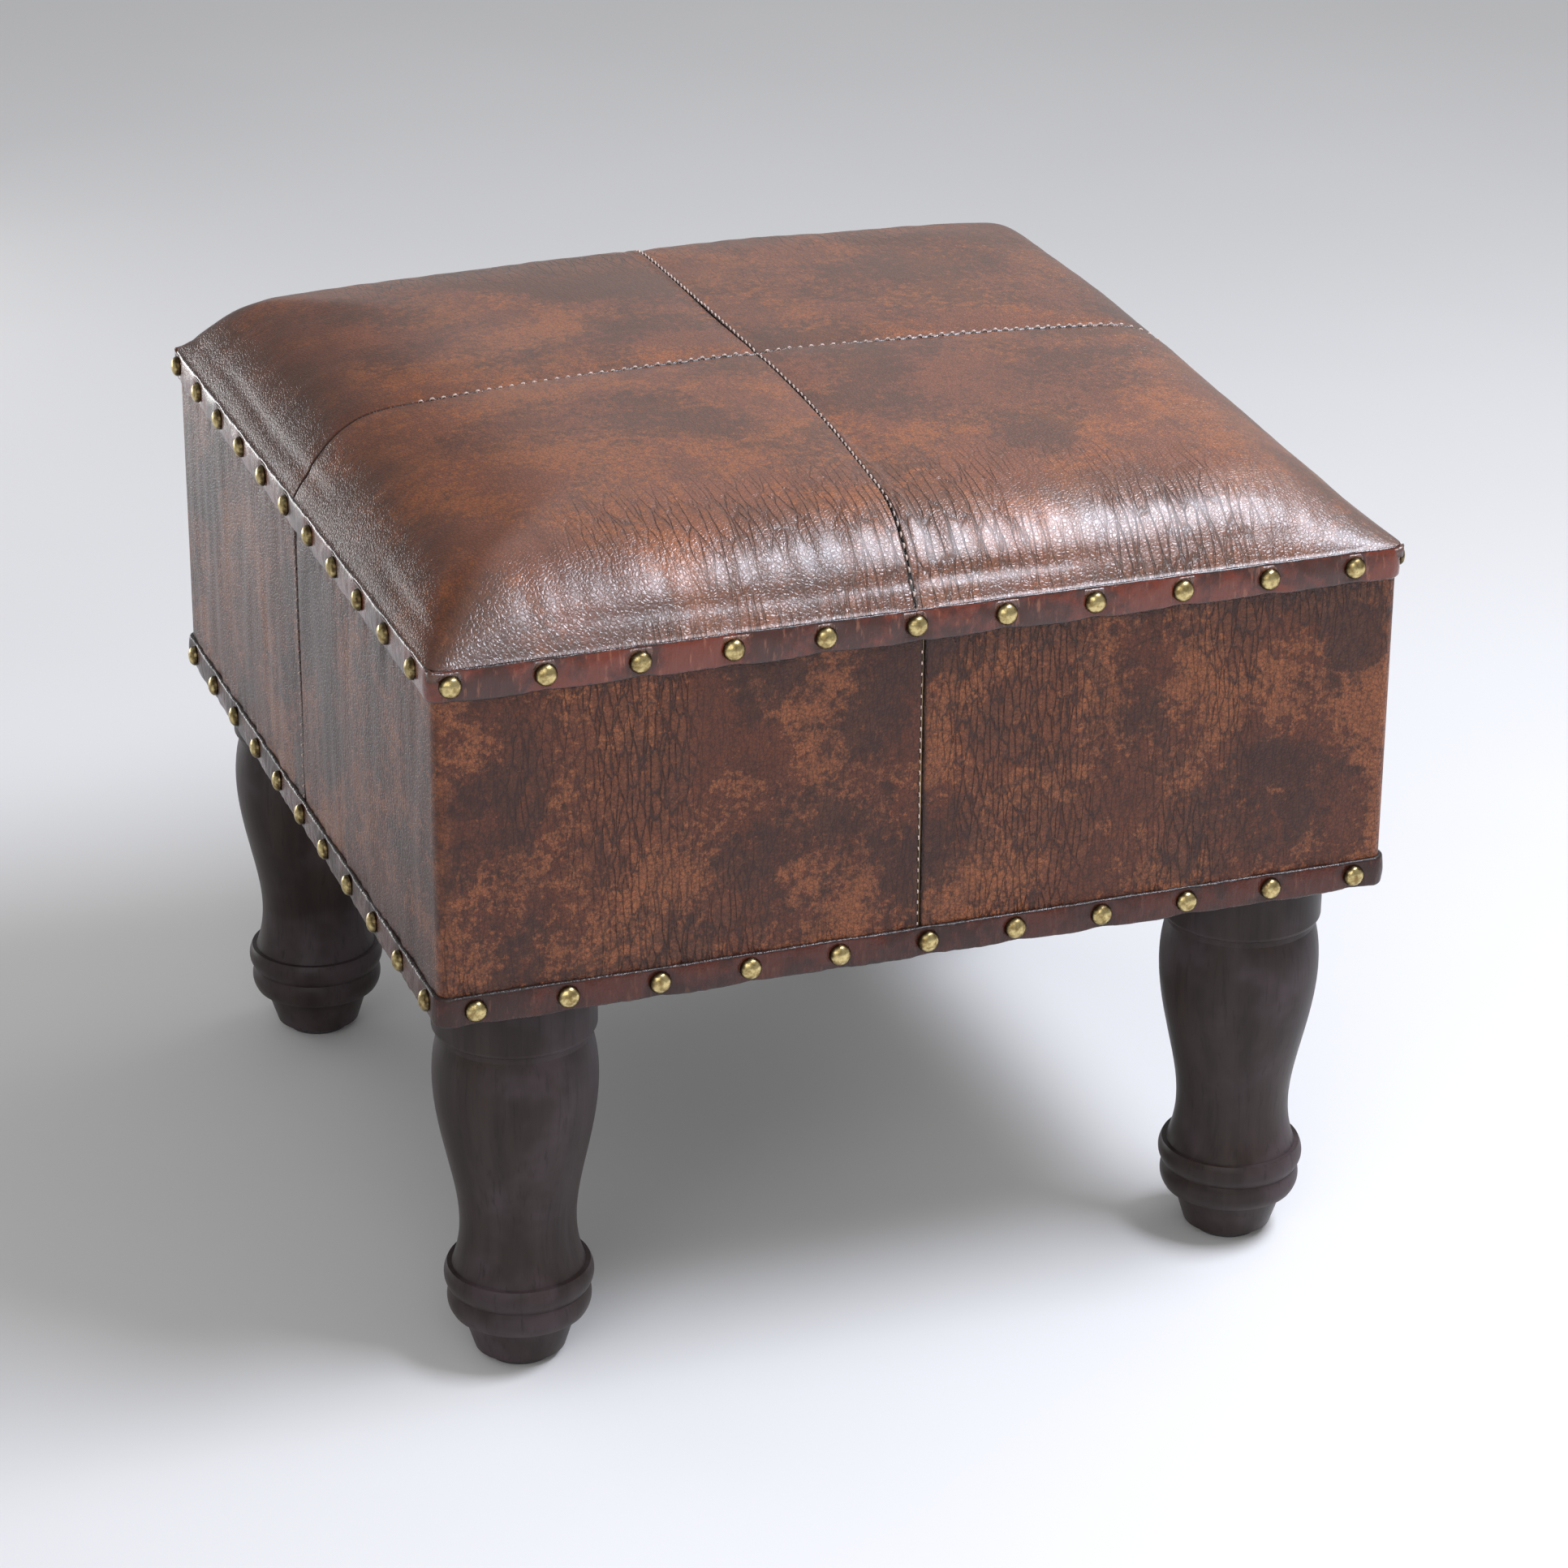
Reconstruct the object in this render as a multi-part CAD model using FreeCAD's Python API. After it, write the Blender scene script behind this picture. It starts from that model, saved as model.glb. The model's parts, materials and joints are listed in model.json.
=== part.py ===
import FreeCAD, Part
import math
import os
from FreeCAD import Vector

# Square upholstered footstool on four turned legs. Millimetres, +Z up, front face towards -Y.
# The origin is on the floor, under the middle of the stool.

# Body
body_width = 305.0  # over the trim bands, the same both ways
body_height = 112.0  # lower edge of the body to the upper edge of the upper band
corner_radius = 5.0  # upright corners, over the trim bands
leather = 1.2
seam_gap = 0.3  # between the cut edges of two covers
band_thickness = 1.2
upper_band = 10.2  # height of the strip under the seat
lower_band = 9.4  # height of the strip along the lower edge
band_joint = 0.4  # slit where the ends of a strip meet, at the back
hem_under = 12.0  # how far the side covers turn in under the frame
seat_hem = 3.8  # how far the seat covers reach down behind the upper band

# Seat
crown_rise = 29.0  # middle of the seat above the upper band
edge_run = 31.0  # width of the rolled edge of the seat
edge_rise = 24.7  # height of the rolled edge
edge_bulge = 5.2  # how far the rolled edge bows out from its chord
top_bulge = 1.1  # the same for the flatter middle of the seat
corner_spread = 0.5  # how much wider the roll gets towards a corner
seam_roll = 6.0  # width over which a seat cover dips to its seam
seam_dip = 1.3
wadding = 6.0
soft_gap = 0.3
least_share = 0.02  # of the rise that the first section of the roll keeps
lip_share = 0.3  # bow of the dip beside a seam, as a share of the dip
roll_steps = (0, 0.08, 0.22, 0.42, 0.68, 1.0)  # sections over the rolled edge
top_steps = 6  # sections between the roll and the seam
layer_steps = (0, 0.1, 0.3, 0.6, 1.0, 1.8)  # sections of the layers under the covers

# Wooden frame
board = 16.0
lip = 9.0  # wood left outside the deck's rebate
deck_thickness = 9.0
deck_gap = 0.2
block_reach = 46.0
block_nose = 14.0
block_height = 30.0

# Legs
leg_height = 130.0  # floor to the lower edge of the body
leg_inset = 33.0  # leg axis from both faces of the body
collar_radius = 25.0
collar_height = 17.0
belly_radius = 25.0
belly_drop = 39.0
neck_radius = 17.9
neck_drop = 82.0
flare_radius = 20.5
flare_drop = 98.5
bead_radius = 23.0
ring_radius = 22.2
bead_height = 8.0
foot_top_radius = 18.0
foot_radius = 14.0
groove_depth = 1.6
groove_width = 2.0
groove_ease = 0.3  # share of the groove's depth at the middle of its rounded edge
bead_lip = 1.0  # how far the bead's upper edge is drawn in
ring_waist = 0.8  # depth of the groove between bead and ring
ring_foot = 0.6  # how much the ring narrows below it

# Fixings
bolt_radius = 4.0
bolt_in_leg = 32.0
bolt_in_block = 34.0
bolt_gap = 0.1
bolt_point_radius = 1.2
bolt_point = 8.0
nut_flange_radius = 9.5
nut_flange = 1.6
nut_barrel_radius = 5.2
nut_barrel = 11.0
glide_radius = 11.0
glide_height = 3.0
glide_chamfer = 0.8
glide_pin_radius = 1.2
glide_pin = 12.0
screw_head_radius = 3.3
screw_head = 2.4
screw_radius = 1.7
block_screw_length = 30.0
deck_screw_length = 22.0
screw_tip = 4.0
screw_point_radius = 0.35
screw_facets = 8
block_screw_margin = 8.0  # from the end of the block
block_screw_recess = 4.0  # of the head, behind the block's nose
block_screw_share = 0.6  # of the block's height

# Upholstery nails and staples
nail_count = 11  # in each strip on each side
nail_margin = 11.5  # from the corner to the end nail, before the shift
upper_shift = 5.4  # of the upper row, to the left as each face is seen
nail_radius = 3.4
nail_dome = 2.4
nail_shoulder = 1.5  # height at which the dome turns over
nail_shoulder_radius = 2.7
nail_flat_radius = 1.3
nail_facets = 12
nail_point_radius = 0.2
nail_shank = 1.3
nail_length = 10.4
nail_tip = 2.5
staple_count = 4
staple_pitch = 48.0
staple_crown = 10.0
staple_wire = 0.8
staple_leg = 7.0
staple_gap = 0.8  # between the tips of the nails and the staples
dust_cover = 0.4
dust_inset = 3.0  # from the wooden face
dust_leg_gap = 1.0
spare = 1.0  # how far a cutter reaches past what it cuts

# Worked out from the sizes above
trim_face = body_width / 2
cover_face = trim_face - band_thickness
wood_face = cover_face - leather
cover_radius = corner_radius - band_thickness
wood_radius = cover_radius - leather
body_bottom = leg_height
band_top = body_bottom + body_height
wood_bottom = body_bottom + leather
wood_top = band_top - leather - soft_gap
inner_face = wood_face - board
leg_axis = trim_face - leg_inset
block_top = wood_bottom + block_height
upper_row = band_top - upper_band / 2
lower_row = body_bottom + lower_band / 2
nail_pitch = (body_width - 2 * nail_margin) / (nail_count - 1)
row_shift = {upper_row: -upper_shift, lower_row: 0.0}
nail_depth = nail_length - band_thickness - leather
staple_inset = nail_depth + staple_gap
wadding_inset = leather + soft_gap
foam_inset = wadding_inset + wadding + soft_gap
below_rim = wood_top - edge_run
block_screw_side = block_reach - block_screw_margin  # from the neighbouring rail's inner face
block_screw_seat = block_nose + block_screw_recess  # of the head, from the rail that it goes into
block_screw_height = wood_bottom + block_height * block_screw_share
far = 2 * body_width

corners = {
    "front_left": (-1, -1),
    "front_right": (1, -1),
    "back_right": (1, 1),
    "back_left": (-1, 1),
}
sides = {"front": 0, "right": 90, "back": 180, "left": 270}
corner_turns = {"front_right": 0, "back_right": 90, "back_left": 180, "front_left": 270}


def block(x0, x1, y0, y1, z0, z1):
    return Part.makeBox(x1 - x0, y1 - y0, z1 - z0, Vector(x0, y0, z0))


def turned(shape, degrees):
    """A copy turned about the stool's upright axis."""
    copy = shape.copy()
    copy.rotate(Vector(0, 0, 0), Vector(0, 0, 1), degrees)
    return copy


def mirrored(shape, sx, sy):
    """A copy of a front right piece for the corner with these signs."""
    copy = shape.copy()
    if sx < 0:
        copy = copy.mirror(Vector(0, 0, 0), Vector(1, 0, 0))
    if sy > 0:
        copy = copy.mirror(Vector(0, 0, 0), Vector(0, 1, 0))
    return copy


def moved(shape, x, y, z):
    copy = shape.copy()
    copy.translate(Vector(x, y, z))
    return copy


def slab(half, radius, z0, z1):
    """A square slab with rounded upright edges."""
    plain = block(-half, half, -half, half, z0, z1)
    upright = [e for e in plain.Edges if abs(e.tangentAt(e.FirstParameter).z) > 0.9]
    return plain.makeFillet(radius, upright)


def faceted(count, stations):
    """A small round piece with flat facets, through (radius, z) stations along Z."""
    rings = []
    for radius, z in stations:
        angles = [2 * math.pi * i / count for i in range(count + 1)]
        rings.append([Vector(radius * math.cos(a), radius * math.sin(a), z) for a in angles])
    faces = [Part.Face(Part.makePolygon(ring)) for ring in (rings[0], rings[-1])]
    for lower, upper in zip(rings, rings[1:]):
        for i in range(count):
            corner_loop = [lower[i], lower[i + 1], upper[i + 1], upper[i], lower[i]]
            faces.append(Part.Face(Part.makePolygon(corner_loop)))
    solid = Part.Solid(Part.Shell(faces))
    if solid.Volume < 0:
        solid.reverse()
    return solid


def spun(edges):
    """A solid of revolution about Z from the edges of half its section."""
    return Part.Face(Part.Wire(edges)).revolve(Vector(0, 0, 0), Vector(0, 0, 1), 360)


def at(radius, z):
    return Vector(radius, 0, z)


def bowed(start, end, bulge):
    """An arc between two points that bows up from its chord."""
    chord = end - start
    across = Vector(-chord.z, 0, chord.x)
    if across.z < 0:
        across = across * -1
    middle = (start + end) * 0.5 + across * (bulge / chord.Length)
    return Part.Arc(start, middle, end).toShape()


def bowed_height(x, x0, z0, x1, z1, bulge):
    """Height at x of the arc that bowed() draws from (x0, z0) to (x1, z1)."""
    run, rise = x1 - x0, z1 - z0
    chord = math.hypot(run, rise)
    radius = (chord * chord / 4 + bulge * bulge) / (2 * bulge)
    back = radius - bulge
    cx = (x0 + x1) / 2 + rise / chord * back
    cz = (z0 + z1) / 2 - run / chord * back
    return cz + math.sqrt(radius * radius - (x - cx) ** 2)


def rise_at(depth, half, dip):
    """Height of the seat above its rim on its middle line, this far in from the edge."""
    if depth <= edge_run:
        return bowed_height(depth, 0, 0, edge_run, edge_rise, edge_bulge)
    shelf = half - seam_roll
    if depth <= shelf:
        return bowed_height(depth, edge_run, edge_rise, shelf, crown_rise, top_bulge)
    return crown_rise - dip * ((depth - shelf) / seam_roll) ** 2


def crown_section(half, depth, base, rim, inner, dip):
    """Section of a seat quarter across X, this far in from the front edge."""
    share = max(rise_at(depth, half, dip) / crown_rise, least_share)
    run = edge_run * (1 + corner_spread * math.exp(-depth / edge_run))
    y = depth - half
    low_in = Vector(inner, y, base)
    low_out = Vector(half, y, base)
    rim_out = Vector(half, y, rim)
    shoulder = Vector(half - run, y, rim + share * edge_rise)
    shelf = Vector(seam_roll, y, rim + share * crown_rise)
    seam = Vector(inner, y, rim + share * (crown_rise - dip))
    return Part.Wire(
        [
            Part.makeLine(low_in, low_out),
            Part.makeLine(low_out, rim_out),
            bowed(shoulder, rim_out, edge_bulge * share),
            bowed(shelf, shoulder, top_bulge * share),
            bowed(seam, shelf, dip * lip_share),
            Part.makeLine(seam, low_in),
        ]
    )


def crown_quarter(inset, base, inner, dip):
    """The front right quarter of the seat's form, set in from the covers' face."""
    half = cover_face - inset
    rim = band_top - inset
    depths = [edge_run * step for step in roll_steps]
    shelf = half - seam_roll
    depths += [edge_run + (shelf - edge_run) * i / top_steps for i in range(1, top_steps + 1)]
    depths += [half - seam_roll / 2, half - inner]
    sections = [crown_section(half, d, base, rim, inner, dip) for d in depths]
    quarter = Part.makeLoft(sections, True, False)
    radius = cover_radius - inset
    middle = half - radius
    square = block(middle, far, -far, -middle, base - spare, far)
    post = Part.makeCylinder(radius, far, Vector(middle, -middle, base - 2 * spare))
    return quarter.cut(square.cut(post))


def inner_section(half, depth, base, rim):
    """Section right across a layer under the covers, this far in from its front edge."""
    share = max(rise_at(depth, half, 0.0) / crown_rise, least_share)
    run = edge_run * (1 + corner_spread * math.exp(-depth / edge_run))
    y = depth - half
    walls = []
    rolls = []
    shoulders = []
    for side in (1, -1):
        rim_out = Vector(side * half, y, rim)
        shoulder = Vector(side * (half - run), y, rim + share * edge_rise)
        walls.append(Part.makeLine(Vector(side * half, y, base), rim_out))
        rolls.append(bowed(shoulder, rim_out, edge_bulge * share))
        shoulders.append(shoulder)
    top = Part.Arc(shoulders[0], Vector(0, y, rim + share * crown_rise), shoulders[1]).toShape()
    floor = Part.makeLine(Vector(-half, y, base), Vector(half, y, base))
    return Part.Wire([floor, walls[0], rolls[0], top, rolls[1], walls[1]])


def inner_layer(inset, base):
    """The seat's form without its seams, set in from the covers' face."""
    half = cover_face - inset
    front = [edge_run * step for step in layer_steps]
    depths = front + [half] + [2 * half - d for d in reversed(front)]
    sections = []
    for depth in depths:
        section = inner_section(half, min(depth, 2 * half - depth), base, band_top - inset)
        section.translate(Vector(0, max(0, 2 * (depth - half)), 0))
        sections.append(section)
    return Part.makeLoft(sections, True, False)


def seat_cover():
    """One quarter of the seat's leather: a shell that reaches down behind the upper band."""
    base = band_top - seat_hem
    outer = crown_quarter(0.0, base, seam_gap / 2, seam_dip)
    inner = crown_quarter(leather, base - leather, 0.0, seam_dip)
    return outer.cut(inner)


def above_frame(layer):
    return layer.common(block(-far, far, -far, far, wood_top, far))


def seam_channel():
    """What the seam across the stool takes from the top of the wadding."""
    half = cover_face - wadding_inset
    under = Part.Face(inner_section(half, half, below_rim, band_top - wadding_inset - seam_dip))
    under.translate(Vector(0, -seam_roll, 0))
    under = under.extrude(Vector(0, 2 * seam_roll, 0))
    return block(-far, far, -seam_roll, seam_roll, wood_top, far).cut(under)


def wadding_shell():
    """The soft layer between the covers and the foam, with a channel under each seam."""
    outer = inner_layer(wadding_inset, below_rim)
    shell = outer.cut(inner_layer(foam_inset - soft_gap, below_rim - wadding))
    shell = above_frame(shell).cut([seam_channel(), turned(seam_channel(), 90)])
    return shell.common(slab(wood_face - soft_gap / 2, wood_radius, below_rim, far))


def foam_pad():
    return above_frame(inner_layer(foam_inset, below_rim))


def nail_places(row):
    """Distance of each nail of a row from the middle of its side."""
    return [nail_pitch * (i - (nail_count - 1) / 2) + row_shift[row] for i in range(nail_count)]


def front_shanks():
    """What the square shanks of the front nails of both rows take up."""
    half = nail_shank / 2
    start = -trim_face
    end = start + nail_length
    shanks = []
    for z in (upper_row, lower_row):
        for x in nail_places(z):
            shanks.append(block(x - half, x + half, start, end, z - half, z + half))
    return Part.makeCompound(shanks)


def all_shanks():
    return Part.makeCompound([turned(front_shanks(), a) for a in sides.values()])


def front_nails(row):
    """The domed nails of one row on the front face."""
    half = nail_shank / 2
    dome = [(nail_radius, 0), (nail_shoulder_radius, nail_shoulder), (nail_flat_radius, nail_dome)]
    crown = faceted(nail_facets, dome)
    tail = nail_length - nail_tip
    shank = block(-half, half, -half, half, -tail, 0)
    tip = faceted(4, [(half * math.sqrt(2), 0), (nail_point_radius, nail_tip)])
    tip.rotate(Vector(0, 0, 0), Vector(0, 0, 1), 45)
    tip.rotate(Vector(0, 0, 0), Vector(1, 0, 0), 180)
    nail = crown.fuse([shank, moved(tip, 0, 0, -tail)]).removeSplitter()
    nail.rotate(Vector(0, 0, 0), Vector(1, 0, 0), 90)
    return Part.makeCompound([moved(nail, x, -trim_face, row) for x in nail_places(row)])


def band(height, z0):
    """A leather strip nailed round the body, its ends meeting at the back."""
    low, high = z0 - spare, z0 + height + spare
    strip = slab(trim_face, corner_radius, z0, z0 + height).cut(slab(cover_face, cover_radius, low, high))
    joint_x = nail_pitch / 2
    slit = block(joint_x, joint_x + band_joint, cover_face - spare, trim_face + spare, low, high)
    return strip.cut([slit, all_shanks()])


def side_cover():
    """A quarter of the side leather: it goes round the front right corner and turns in under the frame."""
    top = band_top - seat_hem - seam_gap
    wrap = slab(cover_face, cover_radius, body_bottom, top)
    wrap = wrap.cut(slab(wood_face, wood_radius, wood_bottom, top + spare))
    under = wood_face - hem_under
    wrap = wrap.cut(block(-under, under, -under, under, body_bottom - spare, wood_bottom + spare))
    quarter = block(seam_gap / 2, far, -far, -seam_gap / 2, 0, far)
    return wrap.common(quarter).cut([all_shanks(), staples(), leg_clearance(0.0)])


def leg_clearance(gap):
    """Upright cylinders round the leg tops."""
    radius = collar_radius + gap
    height = body_height / 2
    posts = []
    for sx, sy in corners.values():
        centre = Vector(sx * leg_axis, sy * leg_axis, wood_bottom - height)
        posts.append(Part.makeCylinder(radius, height, centre))
    return Part.makeCompound(posts)


def deck_pocket():
    half = wood_face - lip
    return block(-half, half, -half, half, wood_top - deck_thickness, wood_top + spare)


def deck():
    half = wood_face - lip - deck_gap
    board_top = block(-half, half, -half, half, wood_top - deck_thickness, wood_top)
    return board_top.cut(deck_screws())


def rail(name):
    """A side of the frame: front and back run the full width, the others fit between them."""
    if name in ("front", "back"):
        plank = slab(wood_face, wood_radius, wood_bottom, wood_top)
        plank = plank.common(block(-far, far, -wood_face, -inner_face, 0, far))
    else:
        plank = block(-inner_face, inner_face, -wood_face, -inner_face, wood_bottom, wood_top)
    plank = turned(plank.cut(deck_pocket()), sides[name])
    return plank.cut([all_shanks(), staples(), block_screws(), deck_screws()])


def corner_block():
    """The front right block that carries a leg, with its nose cut off and bored for the nut."""
    reach, nose = block_reach, block_nose
    points = [(0, 0), (reach, 0), (reach, nose), (nose, reach), (0, reach), (0, 0)]
    outline = [Vector(inner_face - u, v - inner_face, wood_bottom) for u, v in points]
    solid = Part.Face(Part.makePolygon(outline)).extrude(Vector(0, 0, block_height))
    axis = Vector(leg_axis, -leg_axis, wood_bottom)
    bore = Part.makeCylinder(nut_barrel_radius + bolt_gap, block_height, axis)
    return solid.cut([bore, screw_ways(), block_screws()])


def screw(length):
    """A countersunk screw along Z, its head's top at the origin, pointing down."""
    tail = [(screw_point_radius, -length), (screw_radius, screw_tip - length)]
    head = [(screw_radius, -screw_head), (screw_head_radius, 0)]
    return faceted(screw_facets, tail + head)


def block_screws():
    """Two screws through each corner block, one into each rail."""
    lying = screw(block_screw_length)
    lying.rotate(Vector(0, 0, 0), Vector(1, 0, 0), -90)
    u, v, z = inner_face - block_screw_side, inner_face - block_screw_seat, block_screw_height
    front = moved(lying, u, -v, z)
    right = moved(turned(lying, 90), v, -u, z)
    screws = []
    for sx, sy in corners.values():
        screws.append(mirrored(front, sx, sy))
        screws.append(mirrored(right, sx, sy))
    return Part.makeCompound(screws)


def screw_ways():
    """Bores from the slanted face of the front right block down to its screw heads."""
    radius = screw_head_radius + bolt_gap
    x = inner_face - block_screw_side
    y = block_screw_seat - inner_face
    z = block_screw_height
    front = Part.makeCylinder(radius, block_reach, Vector(x, y, z), Vector(0, 1, 0))
    right = Part.makeCylinder(radius, block_reach, Vector(-y, -x, z), Vector(-1, 0, 0))
    return Part.makeCompound([front, right])


def deck_screws():
    """Two screws on each side through the deck's edge into the rebate."""
    y = -(wood_face - lip - (board - lip) / 2)
    screws = []
    for angle in sides.values():
        for x in (-leg_axis / 2, leg_axis / 2):
            screws.append(turned(moved(screw(deck_screw_length), x, y, wood_top), angle))
    return Part.makeCompound(screws)


def staple():
    """A staple under the front rail, its legs pointing up."""
    half = staple_crown / 2
    wire = staple_wire
    y = staple_inset - wood_face
    z = body_bottom - dust_cover
    bar = block(-half, half, y, y + wire, z - wire, z)
    pin = block(-half, -half + wire, y, y + wire, z - wire, z + staple_leg)
    return bar.fuse([pin, moved(pin, staple_crown - wire, 0, 0)]).removeSplitter()


def staples():
    row = [staple_pitch * (i - (staple_count - 1) / 2) for i in range(staple_count)]
    found = []
    for angle in sides.values():
        for x in row:
            found.append(turned(moved(staple(), x, 0, 0), angle))
    return Part.makeCompound(found)


def dust_sheet():
    """The thin cloth under the body, cut round the legs."""
    half = wood_face - dust_inset
    sheet = block(-half, half, -half, half, body_bottom - dust_cover, body_bottom)
    return sheet.cut([leg_clearance(dust_leg_gap), staples()])


def leg():
    """A turned leg with its axis on Z: collar, belly, neck, bead, ring and foot."""
    top = wood_bottom
    base = body_bottom
    shoulder = collar_radius - groove_depth
    groove_z = base - collar_height - groove_depth
    belly_top = groove_z - groove_width
    flare_z = base - flare_drop
    bead_z = flare_z - bead_height
    ring_z = bead_z - bead_height
    waist = ring_radius - ring_waist
    ring_low = waist - ring_foot
    bead_top = bead_radius - bead_lip
    ease = groove_depth * groove_ease

    def line(a, b):
        return Part.makeLine(at(*a), at(*b))

    def curve(*points):
        spline = Part.BSplineCurve()
        spline.interpolate([at(*p) for p in points])
        return spline.toShape()

    middle_drop = (belly_drop + neck_drop) / 2
    middle_radius = (belly_radius + neck_radius) / 2
    outline = [
        line((0, top), (collar_radius, top)),
        line((collar_radius, top), (collar_radius, base - collar_height)),
        curve(
            (collar_radius, base - collar_height),
            (collar_radius - ease, groove_z + ease),
            (shoulder, groove_z),
        ),
        line((shoulder, groove_z), (shoulder, belly_top)),
        curve(
            (shoulder, belly_top),
            (belly_radius, base - belly_drop),
            (middle_radius, base - middle_drop),
            (neck_radius, base - neck_drop),
            (flare_radius, flare_z),
        ),
        line((flare_radius, flare_z), (bead_top, flare_z)),
        curve((bead_top, flare_z), (bead_radius, flare_z - bead_height / 2), (waist, bead_z)),
        curve((waist, bead_z), (ring_radius, bead_z - bead_height / 2), (ring_low, ring_z)),
        line((ring_low, ring_z), (foot_top_radius, ring_z)),
        line((foot_top_radius, ring_z), (foot_radius, glide_height)),
        line((foot_radius, glide_height), (0, glide_height)),
        line((0, glide_height), (0, top)),
    ]
    solid = spun(outline)
    pilot = Part.makeCylinder(bolt_radius + bolt_gap, bolt_in_leg, at(0, top - bolt_in_leg))
    pin_hole = Part.makeCylinder(glide_pin_radius, glide_pin, at(0, glide_height))
    return solid.cut([pilot, pin_hole])


def hanger_bolt():
    """Half in the leg, half up through the block into the nut."""
    low = wood_bottom - bolt_in_leg
    point = Part.makeCone(bolt_point_radius, bolt_radius, bolt_point, at(0, low))
    length = bolt_in_leg + bolt_in_block - bolt_point
    rod = Part.makeCylinder(bolt_radius, length, at(0, low + bolt_point))
    return point.fuse(rod)


def leg_nut():
    """A flanged nut let into the top of the corner block."""
    flange = Part.makeCylinder(nut_flange_radius, nut_flange, at(0, block_top))
    barrel = Part.makeCylinder(nut_barrel_radius, nut_barrel, at(0, block_top - nut_barrel))
    bore = Part.makeCylinder(bolt_radius + bolt_gap, block_height, at(0, block_top - nut_barrel))
    return flange.fuse(barrel).cut(bore)


def glide():
    """A nail-on disc under the foot."""
    disc = Part.makeCylinder(glide_radius, glide_height, at(0, 0))
    disc = disc.makeChamfer(glide_chamfer, [disc.Edges[2]])
    pin = Part.makeCylinder(glide_pin_radius, glide_pin, at(0, glide_height))
    return disc.fuse(pin)


def save(name, shape):
    shape.exportStep(os.path.join("parts", name + ".step"))


os.makedirs("parts", exist_ok=True)

cover = seat_cover()
wrap = side_cover()
carrier = corner_block()
for name, (sx, sy) in corners.items():
    save("seat_cover_" + name, mirrored(cover, sx, sy))
    save("side_cover_" + name, turned(wrap, corner_turns[name]))
    save("corner_block_" + name, mirrored(carrier, sx, sy))
    x, y = sx * leg_axis, sy * leg_axis
    save("leg_" + name, moved(leg(), x, y, 0))
    save("hanger_bolt_" + name, moved(hanger_bolt(), x, y, 0))
    save("leg_nut_" + name, moved(leg_nut(), x, y, 0))
    save("glide_" + name, moved(glide(), x, y, 0))

for name, angle in sides.items():
    save("rail_" + name, rail(name))
    save("upper_nails_" + name, turned(front_nails(upper_row), angle))
    save("lower_nails_" + name, turned(front_nails(lower_row), angle))

save("foam_pad", foam_pad())
save("wadding_layer", wadding_shell())

save("deck_board", deck())
save("upper_band", band(upper_band, band_top - upper_band))
save("lower_band", band(lower_band, body_bottom))
save("dust_cover", dust_sheet())
save("dust_cover_staples", staples())
save("corner_block_screws", block_screws())
save("deck_screws", deck_screws())
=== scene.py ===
import json
import math

import bmesh
import bpy
import numpy as np
from mathutils import Matrix, Vector, noise
from mathutils.bvhtree import BVHTree


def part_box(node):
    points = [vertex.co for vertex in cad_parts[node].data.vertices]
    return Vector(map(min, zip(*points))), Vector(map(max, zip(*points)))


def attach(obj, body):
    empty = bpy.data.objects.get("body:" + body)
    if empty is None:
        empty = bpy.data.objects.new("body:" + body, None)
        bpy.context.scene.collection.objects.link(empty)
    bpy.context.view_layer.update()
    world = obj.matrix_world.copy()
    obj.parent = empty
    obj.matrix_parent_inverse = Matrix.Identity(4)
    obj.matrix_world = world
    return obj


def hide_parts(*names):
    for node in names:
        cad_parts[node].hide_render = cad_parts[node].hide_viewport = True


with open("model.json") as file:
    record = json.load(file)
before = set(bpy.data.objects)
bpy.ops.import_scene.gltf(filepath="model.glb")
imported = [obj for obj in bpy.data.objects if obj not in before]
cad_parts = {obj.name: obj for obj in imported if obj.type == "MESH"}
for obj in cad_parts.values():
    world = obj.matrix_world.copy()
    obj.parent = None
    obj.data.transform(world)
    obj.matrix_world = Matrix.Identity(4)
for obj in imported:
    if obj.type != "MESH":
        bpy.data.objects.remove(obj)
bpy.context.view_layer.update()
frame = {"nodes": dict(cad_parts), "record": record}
nodes = frame["nodes"]
scene = bpy.context.scene

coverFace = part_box("side_cover_front_left")[0][0] * -1
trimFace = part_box("upper_band")[1][0]
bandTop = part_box("upper_band")[1][2]
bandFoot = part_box("upper_band")[0][2]
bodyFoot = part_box("lower_band")[0][2]
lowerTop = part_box("lower_band")[1][2]
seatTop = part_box("seat_cover_front_left")[1][2]
legAxis = sum(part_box("leg_front_right")[i][0] for i in (0, 1)) / 2
cornerRadius = 0.0038
seamHalf = 0.00015
leatherThickness = 0.0012
corners = {"front_left": (-1, -1), "front_right": (1, -1), "back_right": (1, 1), "back_left": (-1, 1)}
print("frame loaded", coverFace, trimFace, bandTop, seatTop)


# node helpers: a value or a socket goes into each input, and the tree is read from the sockets

def isSocket(value):
    return isinstance(value, bpy.types.NodeSocket)


def plug(socket, value):
    if isSocket(value):
        socket.id_data.links.new(value, socket)
    else:
        socket.default_value = value


def plugAll(node, inputs):
    for name, value in inputs.items():
        plug(node.inputs[name], value)


def addNode(tree, kind, inputs=None, **fixed):
    node = tree.nodes.new(kind)
    for name, value in fixed.items():
        setattr(node, name, value)
    plugAll(node, inputs or {})
    return node


def nextTo(kind, inputs, **fixed):
    # a node in the tree of the first socket that goes into it
    return addNode(next(v.id_data for v in inputs.values() if isSocket(v)), kind, inputs, **fixed)


def calc(operation, *values):
    return nextTo("ShaderNodeMath", dict(enumerate(values)), operation=operation).outputs[0]


def plus(first, second):
    return calc("ADD", first, second)


def minus(first, second):
    return calc("SUBTRACT", first, second)


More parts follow.
